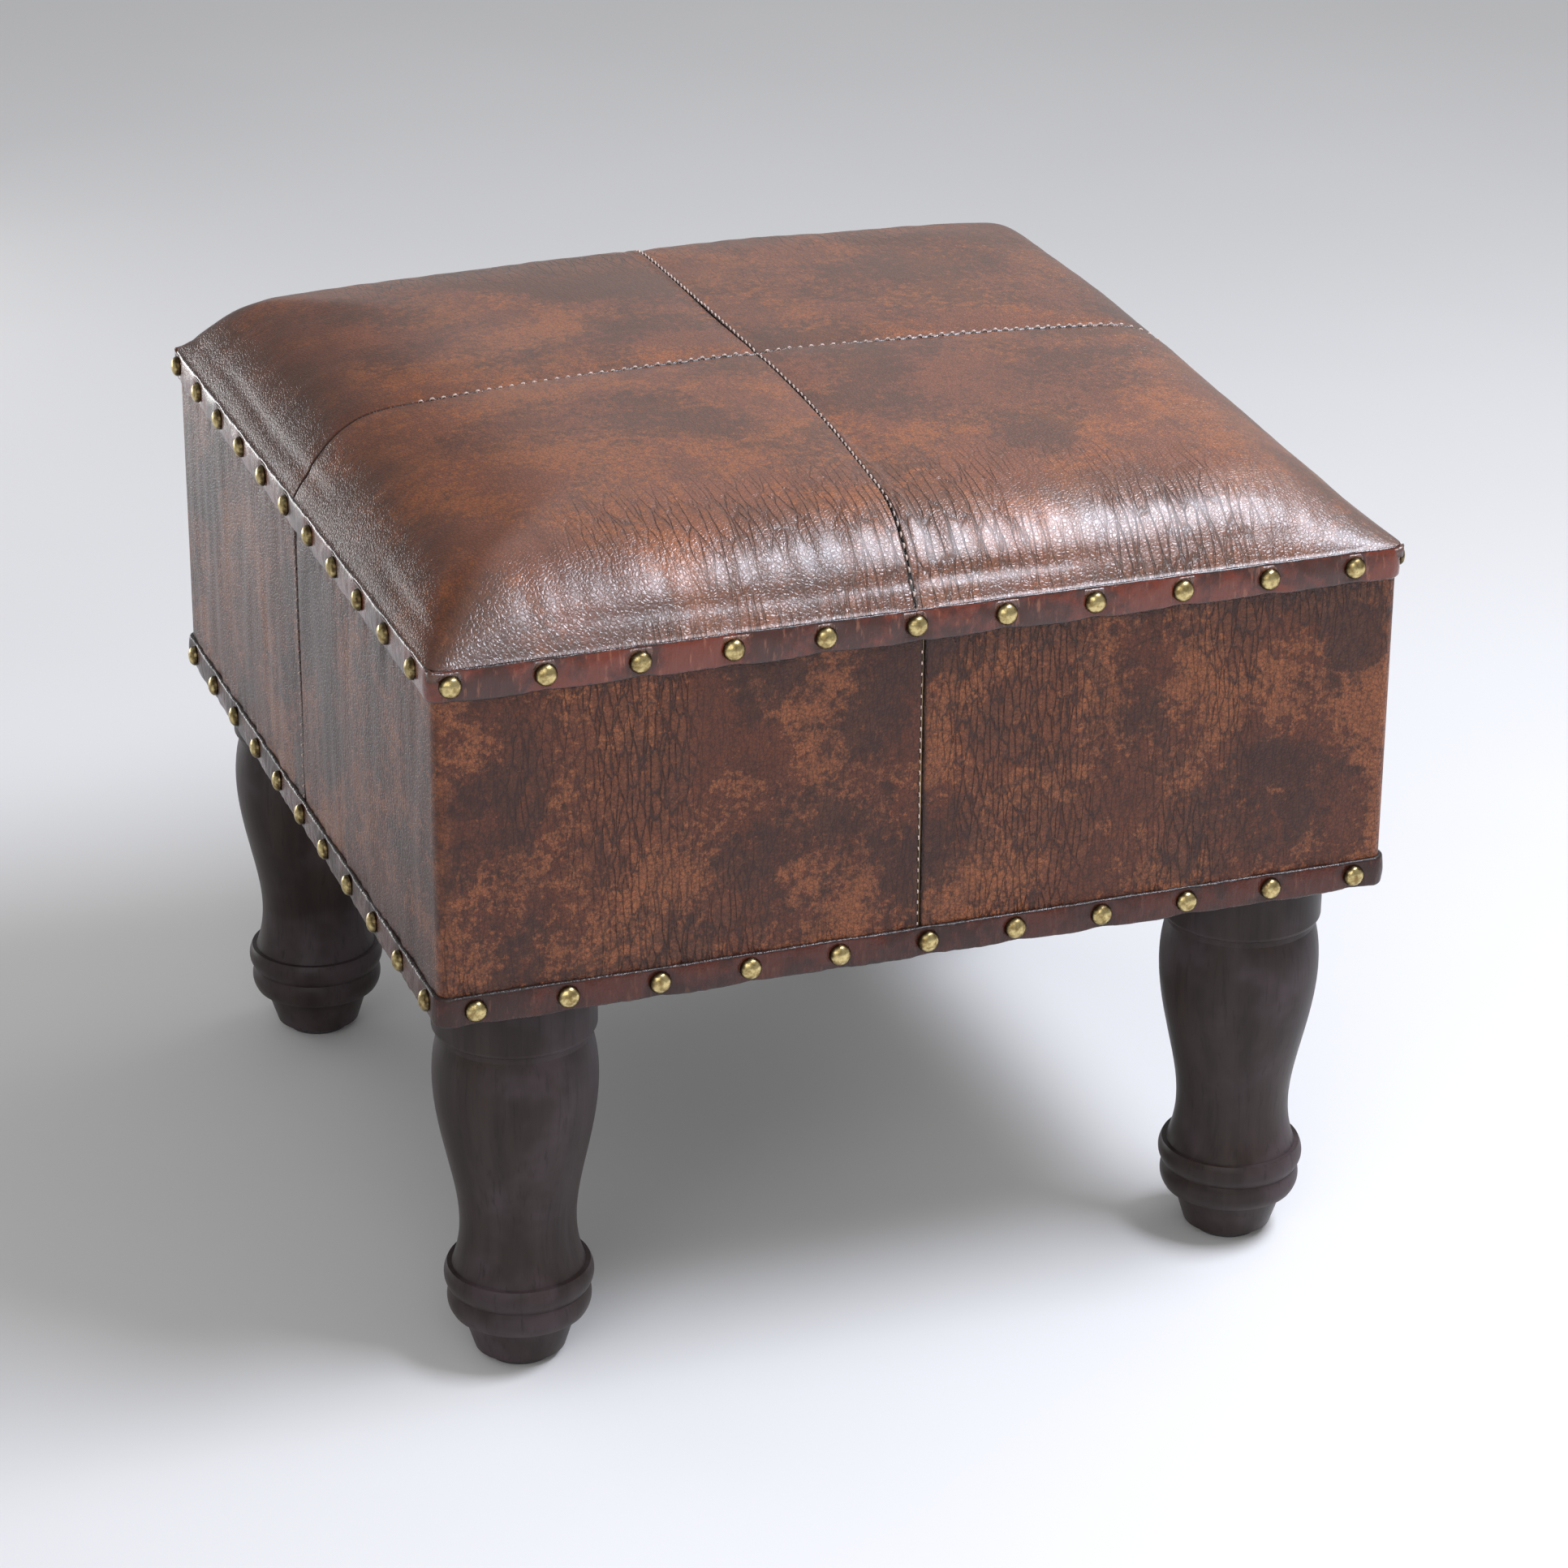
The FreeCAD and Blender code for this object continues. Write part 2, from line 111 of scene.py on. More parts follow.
def times(first, *others):
    for other in others:
        first = calc("MULTIPLY", first, other)
    return first


def mixed(first, second, share):
    # the first value where share is 0, the second where it is 1
    return plus(times(first, minus(1.0, share)), times(second, share))


def ramp(value, low, high, toLow=0.0, toHigh=1.0):
    return nextTo("ShaderNodeMapRange", {"Value": value, "From Min": low, "From Max": high, "To Min": toLow,
                                         "To Max": toHigh}, interpolation_type="SMOOTHSTEP").outputs["Result"]


def blendColour(factor, first, second):
    # the mix node's colour sockets are 6 and 7, and its colour comes out of 2
    tones = [tone if isSocket(tone) else (*tone, 1) for tone in (first, second)]
    node = nextTo("ShaderNodeMix", {0: factor}, data_type="RGBA")
    plugAll(node, {6: tones[0], 7: tones[1]})
    return node.outputs[2]


def layered(colour, *layers):
    # each layer is a mask and the tone that it lays over the colour
    for mask, tone in layers:
        colour = blendColour(mask, colour, tone)
    return colour


def scaled(vector, scale):
    return nextTo("ShaderNodeMapping", {"Vector": vector, "Scale": scale}).outputs["Vector"]


def noiseOf(vector, scale, detail=3.0, roughness=0.5, w=0.0, distortion=0.0):
    return nextTo("ShaderNodeTexNoise", {"Vector": vector, "W": w, "Scale": scale, "Detail": detail,
                                         "Roughness": roughness, "Distortion": distortion},
                  noise_dimensions="4D").outputs["Fac"]


def cellsOf(vector, scale, **fixed):
    return nextTo("ShaderNodeTexVoronoi", {"Vector": vector, "Scale": scale}, **fixed).outputs


def startGroup(name, floats, outputs):
    # a group that takes a vector and floats and gives floats
    tree = bpy.data.node_groups.new(name, "ShaderNodeTree")
    sockets = tree.interface
    sockets.new_socket("Vector", in_out="INPUT", socket_type="NodeSocketVector")
    for label, value in floats.items():
        sockets.new_socket(label, in_out="INPUT", socket_type="NodeSocketFloat").default_value = value
    for label in outputs:
        sockets.new_socket(label, in_out="OUTPUT", socket_type="NodeSocketFloat")
    return tree, tree.nodes.new("NodeGroupInput").outputs, tree.nodes.new("NodeGroupOutput").inputs


def useGroup(group, inputs):
    node = addNode(inputs["Vector"].id_data, "ShaderNodeGroup", node_tree=group)
    plugAll(node, inputs)
    return node.outputs


def attributeOf(place, name):
    return addNode(place.id_data, "ShaderNodeAttribute", attribute_name=name).outputs["Fac"]


def addBump(height, strength, distance, **under):
    return nextTo("ShaderNodeBump", {"Height": height, "Strength": strength, "Distance": distance,
                                     **under}).outputs[0]


def warped(vector, noiseInputs, amount):
    # the vector pushed about by a noise
    warp = nextTo("ShaderNodeTexNoise", {"Vector": vector, **noiseInputs}).outputs["Color"]
    for operation, inputs in (("SUBTRACT", {1: (0.5, 0.5, 0.5)}), ("SCALE", {"Scale": amount}),
                              ("ADD", {1: vector})):
        warp = nextTo("ShaderNodeVectorMath", {0: warp, **inputs}, operation=operation).outputs[0]
    return warp


def startMaterial(name):
    material = bpy.data.materials.new(name)
    material.use_nodes = True
    shader = material.node_tree.nodes["Principled BSDF"]
    place = addNode(material.node_tree, "ShaderNodeTexCoord").outputs["Object"]
    return material, shader, place


# what several finishes share

def makeClouds():
    # sponged-on tone: broad clouds with ragged edges
    tree, given, out = startGroup("spongedClouds", {"Cloud": 16.0, "Rag": 260.0, "Ragged": 0.35, "Level": 0.5,
                                                    "Edge": 0.05, "Cut": 0.0}, ["Mask"])
    cloud = noiseOf(given["Vector"], given["Cloud"], 2.0, 0.5, given["Cut"], 0.4)
    rag = noiseOf(given["Vector"], given["Rag"], 4.0, 0.75, given["Cut"])
    total = plus(cloud, times(minus(rag, 0.5), given["Ragged"]))
    low, high = minus(given["Level"], given["Edge"]), plus(given["Level"], given["Edge"])
    plug(out["Mask"], ramp(total, low, high))
    return tree


def makePebbles():
    # the embossed grain of the leather: small rounded cells with fine lines between
    tree, given, out = startGroup("pebbleGrain", {"Cells": 900.0}, ["Height", "Pits"])
    moved = warped(given["Vector"], {"Scale": 300.0, "Detail": 1.0}, 0.0016)
    cells = nextTo("ShaderNodeTexVoronoi", {"Vector": moved, "Scale": given["Cells"], "Randomness": 0.9},
                   feature="DISTANCE_TO_EDGE").outputs["Distance"]
    dome = ramp(cells, 0.0, 0.28)
    fine = noiseOf(given["Vector"], 2600.0, 2.0, 0.6)
    plug(out["Height"], plus(times(dome, 0.8), times(fine, 0.35)))
    plug(out["Pits"], ramp(cells, 0.1, 0.0))
    return tree


def makeCreases():
    # a net of long cells, as leather shows where it is pulled; the vector comes in stretched
    tree, given, out = startGroup("creaseNet", {"Scale": 1.0, "Warp": 0.5, "Width": 0.16}, ["Height", "Line"])
    moved = warped(given["Vector"], {"Scale": 0.55, "Detail": 3.0, "Roughness": 0.6}, given["Warp"])
    cells = cellsOf(moved, given["Scale"], feature="DISTANCE_TO_EDGE")["Distance"]
    plug(out["Height"], ramp(cells, 0.0, given["Width"]))
    # the line marks where painted shade darkens the bottom of each crease
    plug(out["Line"], ramp(cells, times(given["Width"], 0.5), 0.0))
    return tree


spongedClouds = makeClouds()
pebbleGrain = makePebbles()
creaseNet = makeCreases()

# painted shade in the groove of a seam, and the range of X in which the left side begins
seamShadeTone = (0.012, 0.007, 0.006)
leftFace = (-0.1500, -0.1512)
seatFinish = {
    "base": (0.230, 0.070, 0.032), "dark": (0.060, 0.026, 0.016), "tan": (0.430, 0.125, 0.028),
    "darkLevel": 0.54, "tanLevel": 0.55, "cloud": 20.0, "rag": 330.0, "ragged": 0.75,
    "darkShare": 0.62, "tanShare": 0.6, "speck": 0.55, "sheen": 0.9,
    "creaseDepth": 0.00060, "creaseShade": 0.32, "grainDepth": 0.00015, "rough": 0.34, "coat": 0.5,
    "rimShade": 0.74, "creaseCells": (320.0, 60.0), "creaseWidth": 0.12}
sideFinish = {
    "base": (0.108, 0.027, 0.010), "dark": (0.028, 0.009, 0.006), "tan": (0.370, 0.122, 0.044),
    "darkLevel": 0.53, "tanLevel": 0.530, "cloud": 25.0, "rag": 280.0, "ragged": 0.65,
    "darkShare": 0.85, "tanShare": 0.65, "speck": 0.75, "sheen": 0.42,
    "creaseDepth": 0.00042, "creaseShade": 0.85, "grainDepth": 0.00013, "rough": 0.42, "coat": 0.06,
    "creaseCells": (430.0, 95.0), "creaseWidth": 0.15}


def splitPlace(place):
    parts = nextTo("ShaderNodeSeparateXYZ", {0: place}).outputs
    return parts[0], calc("ABSOLUTE", parts[0]), calc("ABSOLUTE", parts[1])


def seatCreases(place, finish, cut, colour):
    # they run across the rolled edges, so the net is turned where the roll turns
    left, acrossX, acrossY = splitPlace(place)
    fine, long = finish["creaseCells"]
    nets = [useGroup(creaseNet, {"Vector": scaled(place, cells), "Warp": 1.1,
                                 "Width": finish["creaseWidth"]})
            for cells in ((fine, long, long), (long, fine, long))]
    side = ramp(minus(acrossX, acrossY), -0.01, 0.01)
    height, line = (mixed(nets[0][kind], nets[1][kind], side) for kind in ("Height", "Line"))
    far = calc("MAXIMUM", acrossX, acrossY)
    near = calc("MINIMUM", acrossX, acrossY)
    # in patches, fewer on the left and right rolls and fewest on the left one
    patch = ramp(noiseOf(place, 24.0, 2.0, 0.5, cut), 0.36, 0.54)
    where = times(ramp(far, 0.088, 0.130, 0.12, 1.0), patch, ramp(near, 0.135, 0.085),
                  ramp(side, 0.0, 1.0, 1.0, 0.25), ramp(left, -0.095, -0.115, 1.0, 0.25))
    polish = ramp(times(side, ramp(left, -0.060, -0.130)), 0.0, 1.0, 1.0, 0.2)
    cloudy = ramp(noiseOf(place, 26.0, 3.0, 0.6, 4.0), 0.3, 0.65)
    # painted shade darkens the rolled edges of the seat, in clouds
    rim = times(ramp(far, 0.112, 0.138), finish["rimShade"], cloudy)
    # painted shade: the seat is painted darker, in clouds, towards its left edge
    leftShade = times(ramp(left, -0.055, -0.140, 0.0, 0.5), ramp(cloudy, 0, 1, 0.6, 1.0),
                 ramp(side, 0.0, 1.0, 0.4, 1.0))
    colour = layered(colour, (rim, finish["dark"]), (leftShade, finish["dark"]))
    return colour, height, line, where, polish


def sideCreases(place, finish, cut, colour):
    # they stand upright on the walls
    left, acrossX, acrossY = splitPlace(place)
    fine, long = finish["creaseCells"]
    net = useGroup(creaseNet, {"Vector": scaled(place, (fine, fine, long)), "Warp": 1.3,
                               "Width": finish["creaseWidth"]})
    patch = noiseOf(scaled(place, (1.0, 1.0, 0.55)), 19.0, 2.0, 0.5, cut)
    # the left side is smoother and shinier
    where = times(ramp(patch, 0.42, 0.58, 0.22, 1.0), ramp(left, *leftFace, 1.0, 0.25))
    polish = ramp(left, *leftFace, 1.0, 1.6)
    worn = times(ramp(plus(acrossX, acrossY), 0.2955, 0.3000),
                 ramp(noiseOf(place, 120.0, 3.0, 0.6), 0.35, 0.7), 0.55)
    return blendColour(worn, colour, finish["tan"]), net["Height"], net["Line"], where, polish


def makeLeather(name, finish, addCreases):
    material, shader, place = startMaterial(name)
    cut = attributeOf(place, "cut")
    dark = useGroup(spongedClouds, {
        "Vector": place, "Cloud": finish["cloud"], "Rag": finish["rag"], "Ragged": finish["ragged"],
        "Level": finish["darkLevel"], "Edge": 0.06, "Cut": cut})["Mask"]
    tan = useGroup(spongedClouds, {
        "Vector": place, "Cloud": finish["cloud"] * 1.5, "Rag": finish["rag"] * 1.3,
        "Ragged": finish["ragged"] * 1.6, "Level": finish["tanLevel"], "Edge": 0.035,
        "Cut": plus(cut, 31.0)})["Mask"]
    smoke = noiseOf(place, 60.0, 4.0, 0.65, cut)
    speck = noiseOf(place, 900.0, 3.0, 0.75)
    tanTone, darkTone = finish["tan"], finish["dark"]
    colour = layered(finish["base"], (times(tan, finish["tanShare"]), tanTone),
                     (times(dark, finish["darkShare"]), darkTone),
                     (ramp(smoke, 0.42, 0.68, 0.0, 0.35), darkTone))
    colour, height, line, where, polish = addCreases(place, finish, cut, colour)
    relief = times(height, where)
    grain = useGroup(pebbleGrain, {"Vector": place, "Cells": 820.0})
    # painted shade darkens the crease lines
    colour = layered(colour, (times(line, where, finish["creaseShade"]), darkTone),
                     (times(relief, 0.22), tanTone), (times(grain["Pits"], 0.55), darkTone),
                     (ramp(speck, 0.38, 0.72, 0.0, finish["speck"]), darkTone))
    # painted shade along the seams' grooves
    seam = ramp(attributeOf(place, "seam"), 0.15, 0.6, 0.0, 0.85)
    rough = plus(finish["rough"] - 0.06, times(smoke, 0.12))
    creased = addBump(relief, 0.9, finish["creaseDepth"])
    plugAll(shader, {
        "Base Color": blendColour(seam, colour, seamShadeTone),
        "Roughness": plus(rough, times(grain["Pits"], 0.12)),
        "Normal": addBump(grain["Height"], 0.8, finish["grainDepth"], Normal=creased),
        "Specular IOR Level": times(polish, finish["sheen"]),
        "Coat Weight": times(polish, finish["coat"]), "Coat Roughness": 0.28})
    return material


seatLeather = makeLeather("seatLeather", seatFinish, seatCreases)
sideLeather = makeLeather("sideLeather", sideFinish, sideCreases)


bandFinish = {"base": (0.150, 0.029, 0.014), "dark": (0.020, 0.008, 0.006), "worn": (0.36, 0.14, 0.08),
              "cutEdge": (0.012, 0.008, 0.007), "rough": 0.27, "coat": 0.55, "between": (0.20, 0.16)}


def makeBandLeather():
    material, shader, place = startMaterial("bandLeather")
    dark = useGroup(spongedClouds, {"Vector": place, "Cloud": 45.0, "Rag": 300.0, "Ragged": 0.4,
                                    "Level": 0.50, "Edge": 0.08, "Cut": 9.0})["Mask"]
    colour = blendColour(times(dark, 0.75), bandFinish["base"], bandFinish["dark"])
    # fine upright wrinkles across the strip
    pulled = noiseOf(scaled(place, (1.0, 1.0, 0.22)), 620.0, 3.0, 0.6, 2.0)
    grain = useGroup(pebbleGrain, {"Vector": place, "Cells": 900.0})
    worn = times(ramp(pulled, 0.56, 0.72), 0.5)
    # painted shade: the lower strip is painted darker than the upper one, and it is duller
    level = nextTo("ShaderNodeSeparateXYZ", {0: place}).outputs[2]
    lower = ramp(level, *bandFinish["between"], 0.0, 0.6)
    colour = layered(colour, (worn, bandFinish["worn"]), (lower, bandFinish["dark"]))
    # cut edges are dark
    rag = times(minus(noiseOf(place, 500.0, 3.0, 0.7), 0.5), 0.35)
    frayed = ramp(plus(attributeOf(place, "edge"), rag), 0.82, 0.96)
    plugAll(shader, {
        "Base Color": blendColour(times(frayed, 0.85), colour, bandFinish["cutEdge"]),
        "Roughness": plus(bandFinish["rough"] - 0.05, times(dark, 0.15)),
        "Normal": addBump(grain["Height"], 0.6, 0.00006, Normal=addBump(pulled, 0.8, 0.00055)),
        "Coat Weight": times(ramp(lower, 0.0, 0.6, 1.0, 0.2), bandFinish["coat"]),
        "Specular IOR Level": 0.4, "Coat Roughness": 0.22})
    return material


def makeBrass():
    material, shader, place = startMaterial("antiqueBrass")
    patina = noiseOf(place, 520.0, 4.0, 0.6)
    colour = blendColour(ramp(patina, 0.35, 0.68), (0.68, 0.55, 0.26), (0.26, 0.18, 0.07))
    # the rim is painted dark: partly tarnish, partly painted shade round the foot of the dome
    worn = times(minus(patina, 0.5), 0.5)
    rimShadeAndTarnish = ramp(plus(attributeOf(place, "rim"), worn), 0.70, 0.98, 0.0, 0.9)
    dents = noiseOf(place, 900.0, 1.0, 0.4)
    plugAll(shader, {
        "Base Color": blendColour(rimShadeAndTarnish, colour, (0.045, 0.028, 0.014)), "Metallic": 1.0,
        "Roughness": ramp(patina, 0.3, 0.75, 0.20, 0.42), "Normal": addBump(dents, 0.4, 0.00006)})
    return material


def makeLegWood():
    material, shader, place = startMaterial("stainedLegWood")
    # grain runs up the leg
    grain = noiseOf(scaled(place, (1.0, 1.0, 0.06)), 620.0, 4.0, 0.65)
    streak = noiseOf(scaled(place, (1.0, 1.0, 0.12)), 90.0, 3.0, 0.6, 3.0)
    wash = noiseOf(place, 34.0, 3.0, 0.6, 6.0)
    colour = layered((0.022, 0.014, 0.012), (ramp(streak, 0.35, 0.7), (0.040, 0.027, 0.024)),
                     (ramp(wash, 0.42, 0.68, 0.0, 0.75), (0.070, 0.050, 0.056)),
                     (ramp(grain, 0.52, 0.7, 0.0, 0.5), (0.012, 0.009, 0.008)))
    plugAll(shader, {
        "Base Color": colour, "Roughness": ramp(wash, 0.3, 0.75, 0.34, 0.52),
        "Normal": addBump(grain, 0.5, 0.00012), "Specular IOR Level": 0.24})
    return material


def makeRawWood(name, light, dark, along):
    material, shader, place = startMaterial(name)
    stretched = scaled(place, along)
    rings = noiseOf(stretched, 60.0, 4.0, 0.6, 1.0, 0.6)
    pores = noiseOf(stretched, 900.0, 2.0, 0.5)
    colour = blendColour(ramp(rings, 0.35, 0.68), light, dark)
    plugAll(shader, {
        "Base Color": blendColour(ramp(pores, 0.56, 0.7, 0.0, 0.4), colour, dark),
        "Roughness": ramp(rings, 0.3, 0.7, 0.6, 0.75), "Normal": addBump(pores, 0.4, 0.0001)})
    return material


def makeSteel():
    material, shader, place = startMaterial("zincSteel")
    spangle = cellsOf(place, 700.0)
    plugAll(shader, {
        "Base Color": blendColour(spangle["Color"], (0.50, 0.51, 0.53), (0.62, 0.63, 0.64)),
        "Metallic": 1.0, "Roughness": ramp(spangle["Distance"], 0.0, 0.8, 0.28, 0.42)})
    return material


def makeSimple(name, pattern, tones, toneSpan, rough, roughSpan, relief=None):
    # one pattern gives the colour, the roughness and the relief
    material, shader, place = startMaterial(name)
    value = pattern(place)
    plugAll(shader, {"Base Color": blendColour(ramp(value, *toneSpan), *tones),
                     "Roughness": ramp(value, *roughSpan, *rough)})
    if relief:
        plugAll(shader, {"Normal": addBump(value, *relief)})
    return material


def dimmed(colour, share):
    return tuple(c * share for c in colour)


def twist(place):
    return noiseOf(place, 2600.0, 2.0, 0.6)


def weave(place):
    return plus(*(noiseOf(scaled(place, along), 2400.0, 2.0, 0.6)
                  for along in ((1.0, 0.12, 1.0), (0.12, 1.0, 1.0))))


def mould(place):
    return noiseOf(place, 700.0, 3.0, 0.6)


def makeFoam(name, colour, size):
    def cells(place):
        return cellsOf(place, size)["Distance"]

    return makeSimple(name, cells, (colour, dimmed(colour, 0.6)), (0.1, 0.7), (0.8, 0.95), (0.0, 1.0),
                      (0.6, 0.0004))


thread = (0.70, 0.54, 0.47)
paleThread = makeSimple("paleThread", twist, (thread, dimmed(thread, 0.45)), (0.35, 0.7), (0.55, 0.75),
                        (0.3, 0.7), (0.6, 0.0001))
bandLeather = makeBandLeather()
antiqueBrass = makeBrass()
seatWadding = makeFoam("seatWadding", (0.80, 0.80, 0.78), 500.0)
dustCloth = makeSimple("dustCloth", weave, ((0.012, 0.012, 0.013), (0.040, 0.040, 0.043)), (0.8, 1.2),
                       (0.95, 0.8), (0.7, 1.3), (0.6, 0.00015))
finishes = {
    "seat_leather": seatLeather, "side_leather": sideLeather, "band_leather": bandLeather,
    "antique_brass": antiqueBrass, "seat_wadding": seatWadding, "dust_cloth": dustCloth,
    "leg_wood": makeLegWood(), "zinc_steel": makeSteel(),
    "seat_foam": makeFoam("seatFoam", (0.72, 0.66, 0.42), 900.0),
    "frame_wood": makeRawWood("frameWood", (0.62, 0.45, 0.27), (0.42, 0.27, 0.14), (0.2, 0.2, 1.0)),
    "deck_wood": makeRawWood("deckWood", (0.56, 0.41, 0.26), (0.40, 0.27, 0.15), (0.15, 1.0, 1.0)),
    "glide_plastic": makeSimple("glidePlastic", mould, ((0.030, 0.028, 0.027), (0.055, 0.052, 0.050)),
                                (0.35, 0.7), (0.42, 0.6), (0.3, 0.7))}
for part in frame["record"]["subparts"]:
    node = nodes[part["node"]] if part["node"] in nodes else None
    if node is not None:
        node.data.materials.clear()
        node.data.materials.append(finishes[part["material_slot"]])
print("finishes made")


# mesh helpers

def titleOf(corner):
    return corner.title().replace("_", "")


def linkPiece(name, mesh, material):
    mesh.materials.append(material)
    mesh.polygons.foreach_set("use_smooth", [True] * len(mesh.polygons))
    piece = bpy.data.objects.new(name, mesh)
    scene.collection.objects.link(piece)
    return piece


def meshPiece(name, points, faces, material):
    mesh = bpy.data.meshes.new(name)
    mesh.from_pydata([tuple(p) for p in points], [], faces)
    mesh.validate()
    mesh.update()
    return linkPiece(name, mesh, material)


def gridFaces(rows, columns, offset=0, flip=False):
    faces = []
    for r in range(rows - 1):
        for c in range(columns - 1):
            a = offset + r * columns + c
            quad = (a, a + 1, a + columns + 1, a + columns)
            faces.append(quad[::-1] if flip else quad)
    return faces


def addValue(piece, name, values):
    attribute = piece.data.attributes.new(name, "FLOAT", "POINT")
    attribute.data.foreach_set("value", values)


def settle(piece):
    # the modifiers' result becomes the mesh
    graph = bpy.context.evaluated_depsgraph_get()
    made = bpy.data.meshes.new_from_object(piece.evaluated_get(graph))
    old = piece.data
    piece.modifiers.clear()
    piece.data = made
    name = old.name
    bpy.data.meshes.remove(old)
    made.name = name


def thicken(piece, thickness):
    # adds the inner face, so that the skin is a closed shell
    modifier = piece.modifiers.new("thickness", "SOLIDIFY")
    modifier.thickness = thickness
    modifier.offset = -1
    modifier.use_even_offset = False
    settle(piece)


def reshape(piece, change):
    shape = bmesh.new()
    shape.from_mesh(piece.data)
    change(shape)
    shape.to_mesh(piece.data)
    shape.free()


def surfaceTree(pieces):
    vertices = []
    polygons = []
    for piece in pieces:
        start = len(vertices)
        vertices += [v.co[:] for v in piece.data.vertices]
        polygons += [tuple(start + i for i in p.vertices) for p in piece.data.polygons]
    return BVHTree.FromPolygons(vertices, polygons)


def bumps(points, scale, seed=0.0):
    # smooth noise from -1 to 1 at each point
    return np.array([noise.noise(Vector((p[0] * scale[0] + seed, p[1] * scale[1] - seed,
                                         p[2] * scale[2] + 2 * seed))) for p in points])


def smoothStep(values, low, high):
    t = np.clip((values - low) / (high - low), 0, 1)
    return t * t * (3 - 2 * t)


# the seat: its own form, swollen a little by a simulation and laid out as four sewn panels

seat = {"crown": 0.0298, "rollWidth": 0.0350, "rollPower": 3.0, "rollShare": 0.78, "slowWidth": 0.062,
        "cornerFill": 0.37, "cornerReach": 0.012, "rightFuller": 0.6, "overhang": 0.0009,
        "overhangWidth": 0.009, "seamDip": 0.0005, "seamWidth": 0.005, "lip": 0.0010, "lipWidth": 0.0009,
        "step": 0.0015, "rimZone": 0.014, "frontLean": -0.0055, "backLean": 0.003, "leftLean": -0.0027,
        "fill": 0.85, "seamShade": 0.0007, "clear": 0.0018, "ease": 0.0005, "uneven": 0.0006,
        "frontFolds": 0.00035, "sideFolds": 0.0001, "puckers": 0.0003, "puckerWidth": 0.004,
        "tuckDepth": 0.0008, "tuckWidth": 0.0011, "tuckPlace": 0.0042, "tuckSway": 0.0012}
# how far below the trim's top edge the leather turns in, and the share of the overhang it keeps there
turnedIn = ((-0.0001, 0.6), (0.0003, 0.1), (0.0016, 0.0), (0.0036, 0.0))
swelling = {"count": 62, "start": 0.97, "depth": 0.010, "voxel": 0.005, "pressure": 4.0, "stiffness": 25,
            "frames": 20, "cap": 0.0012, "evenTurns": 40, "floorTurns": 6}


def edgeRise(depth):
    # share of the crown's height, this far in from one edge
    near = np.clip(depth / seat["rollWidth"], 0, 1)
    roll = 1 - (1 - near) ** seat["rollPower"]
    slow = 1 - np.exp(-depth / seat["slowWidth"])
    full = 1 - math.exp(-coverFace / seat["slowWidth"])
    return seat["rollShare"] * roll + (1 - seat["rollShare"]) * slow / full


def crownHeight(x, y):
    depthX = np.maximum(coverFace - np.abs(x), 0)
    depthY = np.maximum(coverFace - np.abs(y), 0)
    # the padding is fuller along the right edge towards the back
    depthX = np.where(x > 0, depthX * (1 + seat["rightFuller"] * y / coverFace), depthX)
    k = seat["cornerFill"]
    across, along = (np.maximum(edgeRise(d), 1e-6) ** -k for d in (depthX, depthY))
    return seat["crown"] * (across + along - 1) ** (-1 / k)


def leanOf(x, y):
    # the seams wander a little from the middle lines: shift in x along one, in y along the other
    shiftX = seat["frontLean"] * smoothStep(-y, 0.03, 0.15) + seat["backLean"] * smoothStep(y, 0.02, 0.15)
    shiftY = seat["leftLean"] * smoothStep(-x, 0.02, 0.15)
    return (shiftX * (1 - np.abs(x) / coverFace) ** 2, shiftY * (1 - np.abs(y) / coverFace) ** 2)


def roundCorner(x, y):
    # draws the square's corners in to the covers' corner radius
    reach = seat["cornerReach"]
    a, b = (np.clip((np.abs(side) - coverFace + reach) / reach, 0, None) for side in (x, y))
    inset = 1 - cornerRadius * (1 - math.sqrt(0.5)) / reach
    power = math.log(2) / -math.log(inset)
    norm = (a ** power + b ** power) ** (1 / power)
    share = np.where(norm > 1e-9, np.maximum(a, b) / np.maximum(norm, 1e-9), 1)
    both = (a > 0) & (b > 0)
    return (np.where(both, np.sign(x) * (coverFace - reach + a * share * reach), x),
            np.where(both, np.sign(y) * (coverFace - reach + b * share * reach), y))


def paddedForm():
    # a closed block under the crown, slightly lower than the seat
    count = swelling["count"]
    size = count * count
    line = np.linspace(-coverFace, coverFace, count)
    x, y = np.meshgrid(line, line)
    z = bandTop + crownHeight(x, y) * swelling["start"]
    points = np.stack([x.ravel(), y.ravel(), z.ravel()], axis=1)
    low = points.copy()
    low[:, 2] = bandTop - swelling["depth"]
    faces = gridFaces(count, count) + gridFaces(count, count, size, flip=True)
    ring = list(range(count)) + [count * r + count - 1 for r in range(1, count)]
    ring += [count * (count - 1) + i for i in range(count - 2, -1, -1)]
    ring += [count * r for r in range(count - 2, 0, -1)]
    faces += [(b, a, a + size, b + size) for a, b in zip(ring, ring[1:] + ring[:1])]
    return meshPiece("seatForm", np.concatenate([points, low]), faces, seatWadding)


